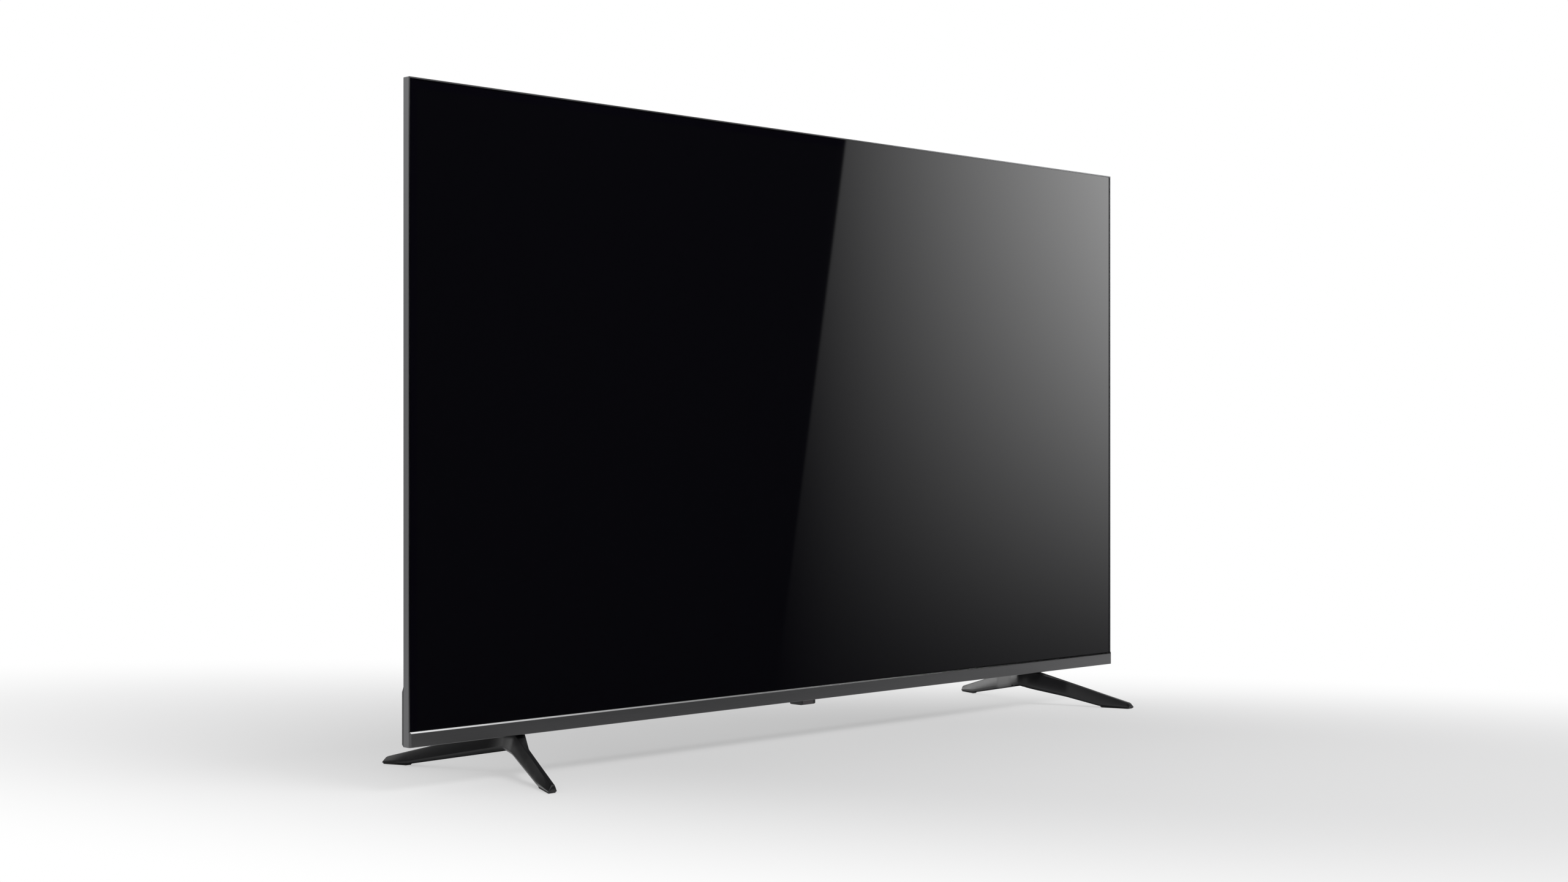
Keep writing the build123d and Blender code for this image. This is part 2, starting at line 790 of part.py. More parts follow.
with BuildPart() as wireless_module:
    with BuildSketch(at_depth(board_back)):
        with Locations((main_mid_x, board_mid - module_drop)):
            Rectangle(module_length, module_width)
    extrude(amount=-module_thick)
    chamfer(wireless_module.faces().sort_by(Axis.Y)[-1].edges(), length=module_thick / 4)
keep(wireless_module, "wireless_module")

# Flat leads: display ribbon, power lead and light lead, each a strip that arches between two boards
strip_thick = 0.5
strip_plug = 5
strip_plug_thick = 3
strip_arch = 9


def flat_lead(name, left_x, left_y, right_x, right_y, low_z, width):
    """A flat lead that arches from one board face to another, with a plug on each end."""
    arch_y = max(left_y, right_y) + strip_plug_thick + strip_arch
    arch_left = left_x + strip_plug + strip_arch
    arch_right = right_x - strip_plug - strip_arch
    with BuildPart() as lead:
        with BuildSketch(at_height(low_z)):
            with BuildLine():
                Polyline(
                    (left_x + strip_plug, left_y + strip_plug_thick - strip_thick),
                    (arch_left, arch_y),
                    (arch_right, arch_y),
                    (right_x - strip_plug, right_y + strip_plug_thick - strip_thick),
                    (right_x - strip_plug, right_y + strip_plug_thick),
                    (arch_right + strip_thick, arch_y + strip_thick),
                    (arch_left - strip_thick, arch_y + strip_thick),
                    (left_x + strip_plug, left_y + strip_plug_thick),
                    close=True,
                )
            make_face()
            with Locations((left_x + strip_plug / 2, left_y + strip_plug_thick / 2)):
                Rectangle(strip_plug, strip_plug_thick)
            with Locations((right_x - strip_plug / 2, right_y + strip_plug_thick / 2)):
                Rectangle(strip_plug, strip_plug_thick)
        extrude(amount=width)
    keep(lead, name)


ribbon_width = 22
ribbon_low = panel_board_low + spacer_inset * 2
plug_inset = 16
lead_width = 14
lead_drop = 20
flat_lead(
    "display_ribbon",
    panel_board_half - plug_inset,
    panel_board_back,
    main_low_x + plug_inset,
    board_back,
    ribbon_low,
    ribbon_width,
)
flat_lead(
    "power_lead",
    power_high_x - plug_inset,
    board_back,
    main_low_x + plug_inset,
    board_back,
    board_high - spacer_inset - lead_drop * 2,
    lead_width,
)

# Source boards along the lower edge, joined to the cell by thin films
source_gap = 0.5
source_thick = 1.2
source_middle_gap = 40
source_edge_gap = 54.5
source_low_rise = 6
source_high_rise = 24
film_sheet = 0.25
film_rise = 2.4
film_lap = 8
film_width = 34
film_count = 5
film_end_share = 0.4
source_length = in_half - source_edge_gap - source_middle_gap
source_x = source_middle_gap + source_length / 2
film_pitch = source_length / (film_count + film_end_share)
source_y = flange_back + source_gap
with BuildPart() as source_boards:
    with BuildSketch(at_depth(source_y)):
        for side in (-1, 1):
            with Locations((side * source_x, bezel_z + (source_low_rise + source_high_rise) / 2)):
                Rectangle(source_length, source_high_rise - source_low_rise)
    extrude(amount=-source_thick)
keep(source_boards, "source_boards")

film_low = bezel_z + film_rise
film_front = cell_y + cell_thick / 2
film_back = source_y - film_sheet
with BuildPart() as one_film:
    with BuildSketch(at_side(-film_width / 2)):
        with BuildLine():
            Polyline(
                (film_front, cell_bottom),
                (film_front, film_low),
                (source_y, film_low),
                (source_y, bezel_z + source_low_rise + film_lap),
                (film_back, bezel_z + source_low_rise + film_lap),
                (film_back, film_low + film_sheet),
                (film_front + film_sheet, film_low + film_sheet),
                (film_front + film_sheet, cell_bottom),
                close=True,
            )
        make_face()
    extrude(amount=film_width)
with BuildPart() as film_connectors:
    with Locations((-source_x, 0, 0), (source_x, 0, 0)):
        with GridLocations(film_pitch, 0, film_count, 1):
            add(one_film.part)
keep(film_connectors, "film_connectors")

# Speakers: closed boxes that fire down through slots in the cover, each with a magnet and a long cone
basket_length = 64
basket_width = 25
basket_depth = 8.5
basket_corner = 6
magnet_radius = 9
magnet_height = 2.4
cone_gap = 0.5
cone_height = 2.6
cone_drop = 1.2
cone_crown = 1.4
speaker_low = bezel_z + speaker_low_rise
speaker_high = bezel_z + speaker_high_rise
basket_roof = speaker_low + basket_depth
cone_low = speaker_low + cone_drop
for side_name, side in (("left", -1), ("right", 1)):
    with BuildPart() as speaker_box:
        with BuildSketch(at_height(speaker_low)):
            with Locations((side * speaker_x, speaker_mid)):
                cut_corners(2 * speaker_half, speaker_back - speaker_front, spacer_radius)
        extrude(amount=speaker_high - speaker_low)
        with BuildSketch(at_height(speaker_low)):
            with Locations((side * speaker_x, speaker_mid)):
                cut_corners(basket_length, basket_width, basket_corner)
        extrude(amount=basket_depth, mode=Mode.SUBTRACT)
    keep(speaker_box, f"{side_name}_speaker_box")
    with BuildPart() as magnet:
        with BuildSketch(at_height(basket_roof - magnet_height)):
            with Locations((side * speaker_x, speaker_mid)):
                post(magnet_radius, round_sides)
        extrude(amount=magnet_height)
    keep(magnet, f"{side_name}_speaker_magnet")
    with BuildPart() as cone:
        with BuildSketch(at_height(cone_low)):
            with Locations((side * speaker_x, speaker_mid)):
                cut_corners(basket_length - 2 * cone_gap, basket_width - 2 * cone_gap, basket_corner)
        extrude(amount=cone_height)
        with BuildSketch(at_height(cone_low)):
            with Locations((side * speaker_x, speaker_mid)):
                cut_corners(basket_length - basket_depth, basket_width - basket_depth, basket_corner)
        extrude(amount=cone_crown, taper=bead_taper, mode=Mode.SUBTRACT)
    keep(cone, f"{side_name}_speaker_cone")

# Receiver pod under the middle of the bezel: shell, dark window, board, switch and button
pod_drop = 8
pod_wall = 1.2
pod_round = 1.8
window_half = 9
window_low = 1.6
window_high = 1.4
receiver_board_thick = 1
receiver_board_drop = 1.6
switch_side = 6
switch_height = 2.2
button_side = 8
button_gap = 0.25
button_flange = 1
button_proud = 0.4
button_stop_gap = 0.1
pod_front = front + pod_front_depth
pod_back = front + pod_back_depth
pod_mid = (pod_front + pod_back) / 2
pod_length = pod_back - pod_front
pod_low = bezel_z - pod_drop
pod_floor = pod_low + pod_wall
with BuildPart() as pod_shell:
    with BuildSketch(at_height(pod_low)):
        with Locations((0, pod_mid)):
            Rectangle(2 * pod_half, pod_length)
    extrude(amount=pod_drop)
    fillet(pod_shell.faces().sort_by(Axis.Z)[0].edges(), radius=pod_round)
    with BuildSketch(at_height(pod_floor)):
        with Locations((0, pod_mid)):
            Rectangle(2 * (pod_half - pod_wall), pod_length - 2 * pod_wall)
    extrude(amount=pod_drop, mode=Mode.SUBTRACT)
    with BuildSketch(at_height(pod_low)):
        with Locations((0, pod_mid)):
            Rectangle(button_side + 2 * button_gap, button_side + 2 * button_gap)
    extrude(amount=pod_wall, mode=Mode.SUBTRACT)
    with BuildSketch(at_depth(pod_front)):
        between(-window_half, window_half, pod_low + window_low, bezel_z - window_high)
    extrude(amount=-pod_wall, mode=Mode.SUBTRACT)
keep(pod_shell, "pod_shell")

with BuildPart() as receiver_window:
    with BuildSketch(at_depth(pod_front)):
        between(-window_half, window_half, pod_low + window_low, bezel_z - window_high)
    extrude(amount=-pod_wall)
keep(receiver_window, "receiver_window")

receiver_board_low = bezel_z - receiver_board_drop - receiver_board_thick
with BuildPart() as receiver_board:
    with BuildSketch(at_height(receiver_board_low)):
        with Locations((0, pod_mid)):
            Rectangle(2 * (pod_half - pod_wall - button_gap), pod_length - 2 * (pod_wall + button_gap))
    extrude(amount=receiver_board_thick)
keep(receiver_board, "receiver_board")

with BuildPart() as press_switch:
    with BuildSketch(at_height(receiver_board_low - switch_height / 2)):
        with Locations((0, pod_mid)):
            Rectangle(switch_side, switch_side)
    extrude(amount=switch_height / 2)
    with BuildSketch(at_height(receiver_board_low - switch_height)):
        with Locations((0, pod_mid)):
            Circle(switch_side / 4)
    extrude(amount=switch_height / 2)
keep(press_switch, "press_switch")

button_low = pod_low - button_proud
button_rest = pod_floor + button_stop_gap
with BuildPart() as power_button:
    with BuildSketch(at_height(button_low)):
        with Locations((0, pod_mid)):
            Rectangle(button_side, button_side)
    extrude(amount=button_rest - button_low)
    chamfer(power_button.faces().sort_by(Axis.Z)[0].edges(), length=button_proud / 2)
    with BuildSketch(at_height(button_rest)):
        with Locations((0, pod_mid)):
            Rectangle(button_side + 2 * button_flange, button_side + 2 * button_flange)
    extrude(amount=button_flange)
keep(power_button, "power_button")

# Feet: two tapering legs that meet under the housing, hollowed below by an arch
foot_vertex_depth = 32
foot_splay = 55.5
bend_share = 0.16
tip_top = 7
pad_thick = 1.5
vertex_top = 52
arch_top = 25.7
front_arch_drop = 34.1
back_arch_drop = 36
blade_top = 5
blade_bottom = 12
blade_flare = 5
root_extra = 14
root_taper_share = 0.2
edge_share = 0.17
front_step_share = 0.53
back_step_share = 0.66
pad_inset = 0.4
pad_end_share = 0.97
root_shares = (0.2, 0.15, 0.11, 0.07, 0.035, 0)


def leg_section(tip_depth, arch_drop, share):
    """One cross section of a leg: where it stands, its outer top corner, its top and its underside."""
    depth = foot_vertex_depth + (tip_depth - foot_vertex_depth) * share
    x = foot_x + foot_splay * (share if share > bend_share else (share**2 / bend_share + bend_share) / 2)
    top = vertex_top + (tip_top - vertex_top) * share
    under = max(arch_top - arch_drop * share, pad_thick)
    extra = root_extra * max(0, 1 - share / root_taper_share / 2)
    return front + depth, x, top, under, extra


def section_points(x, top, under, extra):
    """The six corners of a blade section: narrow on top, flared below, with broken lower corners."""
    edge = (top - under) * edge_share
    outer = x + blade_flare
    inner = outer - blade_bottom - extra
    return (
        (x, top),
        (outer, under + edge),
        (outer - edge, under),
        (inner + edge, under),
        (inner, under + edge),
        (x - blade_top - extra, top),
    )


def ground_share(arch_drop):
    """How far along a leg its underside comes down to the top of the pad."""
    return (arch_top - pad_thick) / arch_drop


with BuildPart() as right_foot:
    for tip_depth, arch_drop in ((front_tip_depth, front_arch_drop), (back_tip_depth, back_arch_drop)):
        for share in (1, ground_share(arch_drop), root_shares[0]):
            y, x, top, under, extra = leg_section(tip_depth, arch_drop, share)
            with BuildSketch(at_depth(y)):
                with BuildLine():
                    Polyline(*section_points(x, top, under, extra), close=True)
                make_face()
        loft(ruled=True)
    root_sections = [(front_tip_depth, front_arch_drop, share) for share in root_shares]
    root_sections += [(back_tip_depth, back_arch_drop, share) for share in root_shares[-2::-1]]
    for tip_depth, arch_drop, share in root_sections:
        y, x, top, under, extra = leg_section(tip_depth, arch_drop, share)
        with BuildSketch(at_depth(y)):
            with BuildLine():
                Polyline(*section_points(x, top, under, extra), close=True)
            make_face()
    loft(ruled=True)
    with BuildSketch(at_height(bezel_z)):
        with Locations((foot_x, seat_y)):
            Rectangle(4 * foot_splay, back_tip_depth - front_tip_depth)
    extrude(amount=vertex_top, mode=Mode.SUBTRACT)
    with BuildSketch(at_height(bezel_z)):
        with Locations(*[place for place in seat_places if place[0] > 0]):
            post(foot_screw_radius + fit_gap, small_sides)
    extrude(amount=-bezel_z, mode=Mode.SUBTRACT)
    with BuildSketch(at_height(bezel_z - foot_screw_grip)):
        with Locations(*[place for place in seat_places if place[0] > 0]):
            post(foot_head_radius + fit_gap, small_sides)
    extrude(amount=-bezel_z, mode=Mode.SUBTRACT)
keep(right_foot, "right_foot")

with BuildPart() as left_foot:
    add(right_foot.part)
    mirror(about=Plane.YZ, mode=Mode.REPLACE)
keep(left_foot, "left_foot")

# Foot pads: soft strips under the ends of the legs, sloped at first and flat where they meet the table
with BuildPart() as right_pads:
    for tip_depth, arch_drop, first_share in (
        (front_tip_depth, front_arch_drop, front_step_share),
        (back_tip_depth, back_arch_drop, back_step_share),
    ):
        corners = []
        for share in (first_share, ground_share(arch_drop), pad_end_share):
            y, x, top, under, extra = leg_section(tip_depth, arch_drop, share)
            edge = (top - under) * edge_share + pad_inset
            outer = x + blade_flare - edge
            inner = x + blade_flare - blade_bottom - extra + edge
            corners.append((outer, inner, y, under))
        for outer, inner, y, under in corners[:2]:
            with BuildSketch(at_depth(y)):
                between(inner, outer, under - pad_thick, under)
        loft(ruled=True)
        start_outer, start_inner, start_y, _ = corners[1]
        end_outer, end_inner, end_y, _ = corners[2]
        with BuildSketch(at_height(0)):
            with BuildLine():
                Polyline(
                    (start_inner, start_y),
                    (start_outer, start_y),
                    (end_outer, end_y),
                    (end_inner, end_y),
                    close=True,
                )
            make_face()
        extrude(amount=pad_thick)
with BuildPart() as foot_pads:
    add(right_pads.part)
    mirror(about=Plane.YZ)
keep(foot_pads, "foot_pads")

# Foot brackets: folded steel brackets inside the housing, fixed to the chassis, that take the foot screws
bracket_thick = 2
bracket_height = 84
bracket_half = 20
bracket_reach = 54
bracket_side = 30
bracket_low = bezel_z + seat_thick
with BuildPart() as right_bracket:
    with BuildSketch(at_height(bracket_low)):
        with Locations((foot_x, (tray_back + front + bracket_reach) / 2)):
            Rectangle(2 * bracket_half, front + bracket_reach - tray_back)
    extrude(amount=bracket_thick)
    with BuildSketch(at_depth(tray_back)):
        between(foot_x - bracket_half, foot_x + bracket_half, bracket_low, bracket_low + bracket_height)
    extrude(amount=-bracket_thick)
    for x in (foot_x - bracket_half, foot_x + bracket_half - bracket_thick):
        with BuildSketch(at_side(x)):
            with BuildLine():
                Polyline(
                    (tray_back, bracket_low),
                    (front + bracket_reach, bracket_low),
                    (tray_back + bracket_thick, bracket_low + bracket_side),
                    (tray_back, bracket_low + bracket_side),
                    close=True,
                )
            make_face()
        extrude(amount=bracket_thick)
    with BuildSketch(at_height(bracket_low)):
        with Locations(*[place for place in seat_places if place[0] > 0]):
            post(foot_screw_radius, small_sides)
    extrude(amount=bracket_thick, mode=Mode.SUBTRACT)
with BuildPart() as foot_brackets:
    add(right_bracket.part)
    mirror(about=Plane.YZ)
keep(foot_brackets, "foot_brackets")

with BuildPart() as foot_screws:
    with BuildSketch(at_height(bezel_z - foot_screw_grip)):
        with Locations(*seat_places):
            post(foot_screw_radius, small_sides)
    extrude(amount=foot_screw_grip + seat_thick + bracket_thick)
    with BuildSketch(at_height(bezel_z - foot_screw_grip)):
        with Locations(*seat_places):
            post(foot_head_radius, small_sides)
    extrude(amount=-foot_head_height)
keep(foot_screws, "foot_screws")
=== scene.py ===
import json
import math

import bmesh
import bpy
from mathutils import Matrix, Vector


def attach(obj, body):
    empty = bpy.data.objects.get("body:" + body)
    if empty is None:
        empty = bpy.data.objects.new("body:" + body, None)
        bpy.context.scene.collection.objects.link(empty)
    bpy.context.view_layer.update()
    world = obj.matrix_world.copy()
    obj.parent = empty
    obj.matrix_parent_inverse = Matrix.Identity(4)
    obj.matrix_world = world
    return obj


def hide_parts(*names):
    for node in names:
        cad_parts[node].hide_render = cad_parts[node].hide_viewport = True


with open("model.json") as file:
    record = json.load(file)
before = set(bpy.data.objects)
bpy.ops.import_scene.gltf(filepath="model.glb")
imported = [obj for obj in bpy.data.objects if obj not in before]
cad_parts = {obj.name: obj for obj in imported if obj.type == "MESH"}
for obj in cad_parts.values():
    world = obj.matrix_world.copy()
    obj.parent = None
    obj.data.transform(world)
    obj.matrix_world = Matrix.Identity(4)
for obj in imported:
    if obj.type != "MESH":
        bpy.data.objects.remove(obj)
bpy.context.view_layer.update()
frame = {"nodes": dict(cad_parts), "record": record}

nodes = frame["nodes"]
openings = {row["name"]: row["box_m"] for row in frame["record"]["physics"]["openings"]}
mm = 0.001


# camera, at the viewing angle of the photograph
cameraValues = {
    "place": (-1958.1, -1941.6, 371.0),  # millimetres
    "turn": -45,                         # degrees about the upright
    "lens": 49.925,
    "sensor": 36,
    "reach": 60,                         # metres
}


def makeCamera(values):
    data = bpy.data.cameras.new("camera")
    data.lens = values["lens"]
    data.sensor_width = values["sensor"]
    data.clip_end = values["reach"]
    camera = bpy.data.objects.new("camera", data)
    camera.location = Vector(values["place"]) * mm
    camera.rotation_euler = (math.radians(90), 0, math.radians(values["turn"]))
    bpy.context.scene.collection.objects.link(camera)
    bpy.context.scene.camera = camera


makeCamera(cameraValues)
print("camera ready")


# small helpers for node trees
def feed(tree, socket, value):
    if isinstance(value, bpy.types.NodeSocket):
        tree.links.new(value, socket)
    else:
        socket.default_value = value


def node(tree, kind, inputs=None, **settings):
    made = tree.nodes.new("ShaderNode" + kind)
    for name, value in settings.items():
        setattr(made, name, value)
    for name, value in (inputs or {}).items():
        feed(tree, made.inputs[name], value)
    return made


def mixColour(tree, share, first, second):
    made = node(tree, "Mix", {0: share, 6: first, 7: second}, data_type="RGBA")
    return made.outputs[2]


def mapRange(tree, value, low, high, outLow=0.0, outHigh=1.0, smooth=False):
    kind = "SMOOTHSTEP" if smooth else "LINEAR"
    given = {"Value": value, "From Min": low, "From Max": high, "To Min": outLow, "To Max": outHigh}
    return node(tree, "MapRange", given, interpolation_type=kind).outputs["Result"]


def combine(tree, operation, first, second):
    return node(tree, "Math", {0: first, 1: second}, operation=operation).outputs[0]


def scaled(tree, value, factor, offset):
    return node(tree, "Math", {0: value, 1: factor, 2: offset}, operation="MULTIPLY_ADD").outputs[0]


def split(tree, vector):
    return node(tree, "SeparateXYZ", {0: vector}).outputs


def objectPlace(tree):
    return split(tree, node(tree, "TexCoord").outputs["Object"])


def facing(tree):
    return split(tree, node(tree, "NewGeometry").outputs["Normal"])


def noise(tree, where, scale, values):
    given = {"Vector": where, "Scale": scale, "Detail": values["detail"], "Roughness": values["rough"]}
    return node(tree, "TexNoise", given).outputs["Fac"]


def openGroup(name, inputs, outputs):
    group = bpy.data.node_groups.new(name, "ShaderNodeTree")
    for label, kind, value in inputs:
        socket = group.interface.new_socket(name=label, in_out="INPUT", socket_type="NodeSocket" + kind)
        socket.default_value = value
    for label, kind in outputs:
        group.interface.new_socket(name=label, in_out="OUTPUT", socket_type="NodeSocket" + kind)
    return group, node(group, "TexCoord").outputs["Object"]


def ends(group):
    return group.nodes.new("NodeGroupInput").outputs, group.nodes.new("NodeGroupOutput").inputs


# shared effects: each is a node group, placed in the materials with its own values
patchesValues = {"scale": 8.0, "detail": 4.0, "rough": 0.5, "from": 0.3, "to": 0.7}


def makePatches(values):
    group, where = openGroup(
        "colourPatches",
        [
            ("Low", "Color", (0, 0, 0, 1)),
            ("High", "Color", (1, 1, 1, 1)),
            ("Scale", "Float", values["scale"]),
        ],
        [("Colour", "Color")],
    )
    given, out = ends(group)
    cloud = noise(group, where, given["Scale"], values)
    share = mapRange(group, cloud, values["from"], values["to"])
    feed(group, out["Colour"], mixColour(group, share, given["Low"], given["High"]))
    return group


grainValues = {"scale": 900.0, "pits": 0.3, "detail": 3.0, "rough": 0.6, "from": 0.3, "to": 0.7}


def makeFineGrain(values):
    group, where = openGroup(
        "fineGrain",
        [("Scale", "Float", values["scale"]), ("Pits", "Float", values["pits"])],
        [("Height", "Float"), ("Shade", "Float")],
    )
    given, out = ends(group)
    cloud = noise(group, where, given["Scale"], values)
    cells = node(group, "TexVoronoi", {"Vector": where, "Scale": given["Scale"]})
    pits = combine(group, "MULTIPLY", cells.outputs["Distance"], given["Pits"])
    feed(group, out["Height"], combine(group, "SUBTRACT", cloud, pits))
    feed(group, out["Shade"], mapRange(group, cloud, values["from"], values["to"]))
    return group


linesValues = {"stretch": (4, 900, 4), "scale": 1.0, "detail": 2.0, "rough": 0.7, "from": 0.32, "to": 0.68}


def makeBrushedLines(values):
    group, where = openGroup(
        "brushedLines", [("Stretch", "Vector", values["stretch"])], [("Line", "Float")]
    )
    given, out = ends(group)
    stretched = node(group, "VectorMath", {0: where, 1: given["Stretch"]}, operation="MULTIPLY")
    cloud = noise(group, stretched.outputs[0], values["scale"], values)
    feed(group, out["Line"], mapRange(group, cloud, values["from"], values["to"]))
    return group


dustValues = {
    "amount": 0.2, "scale": 260.0, "detail": 5.0, "rough": 0.8, "from": 0.48, "to": 0.72,
    "slopeFrom": 0.2, "slopeTo": 0.9, "colour": (0.42, 0.41, 0.39, 1), "addedRough": 0.3,
}


def makeDust(values):
    group, where = openGroup(
        "settledDust",
        [("Amount", "Float", values["amount"]), ("Scale", "Float", values["scale"])],
        [("Mask", "Float")],
    )
    given, out = ends(group)
    slope = mapRange(group, facing(group)["Z"], values["slopeFrom"], values["slopeTo"])
    cloud = noise(group, where, given["Scale"], values)
    specks = mapRange(group, cloud, values["from"], values["to"])
    share = combine(group, "MULTIPLY", slope, specks)
    feed(group, out["Mask"], combine(group, "MULTIPLY", share, given["Amount"]))
    return group


effects = {
    "patches": makePatches(patchesValues),
    "grain": makeFineGrain(grainValues),
    "lines": makeBrushedLines(linesValues),
    "dust": makeDust(dustValues),
}
print("shared effects ready")


def use(tree, effect, **values):
    made = tree.nodes.new("ShaderNodeGroup")
    made.node_tree = effects[effect]
    for name, value in values.items():
        feed(tree, made.inputs[name], value)
    return made.outputs


# what a finish has unless it says otherwise
plainFinish = {"patch": 8.0, "pits": 0.3, "dust": 0.1, "fixed": {}}


def makeFinish(name, own):
    values = {**plainFinish, **own}
    material = bpy.data.materials.new(name)
    material.use_nodes = True
    tree = material.node_tree
    shader = tree.nodes["Principled BSDF"]
    low, high = (*values["low"], 1), (*values["high"], 1)
    colour = use(tree, "patches", Low=low, High=high, Scale=values["patch"])["Colour"]
    grain = use(tree, "grain", Scale=values["grain"], Pits=values["pits"])
    height, shade = grain["Height"], grain["Shade"]
    if "lines" in values:
        line = use(tree, "lines", Stretch=values["lines"])["Line"]
        tone = tuple(channel * values["lineTone"] for channel in values["high"])
        colour = mixColour(tree, line, colour, (*tone, 1))
        height = combine(tree, "ADD", height, line)
        shade = line
    mask = use(tree, "dust", Amount=values["dust"])["Mask"]
    colour = mixColour(tree, mask, colour, dustValues["colour"])
    rough = mapRange(tree, shade, 0.0, 1.0, *values["rough"])
    rough = combine(tree, "ADD", rough, combine(tree, "MULTIPLY", mask, dustValues["addedRough"]))
    bump = node(tree, "Bump", {"Height": height, "Strength": 1.0, "Distance": values["depth"] * mm})
    feed(tree, shader.inputs["Base Color"], colour)
    feed(tree, shader.inputs["Roughness"], rough)
    feed(tree, shader.inputs["Normal"], bump.outputs["Normal"])
    for socket, value in values["fixed"].items():
        shader.inputs[socket].default_value = value
    return material


def layOver(material, mask, colour, rough):
    tree = material.node_tree
    shader = tree.nodes["Principled BSDF"]
    under = shader.inputs["Base Color"].links[0].from_socket
    feed(tree, shader.inputs["Base Color"], mixColour(tree, mask, under, colour))
    under = shader.inputs["Roughness"].links[0].from_socket
    blend = node(tree, "Mix", {0: mask, 2: under, 3: rough})
    feed(tree, shader.inputs["Roughness"], blend.outputs[0])


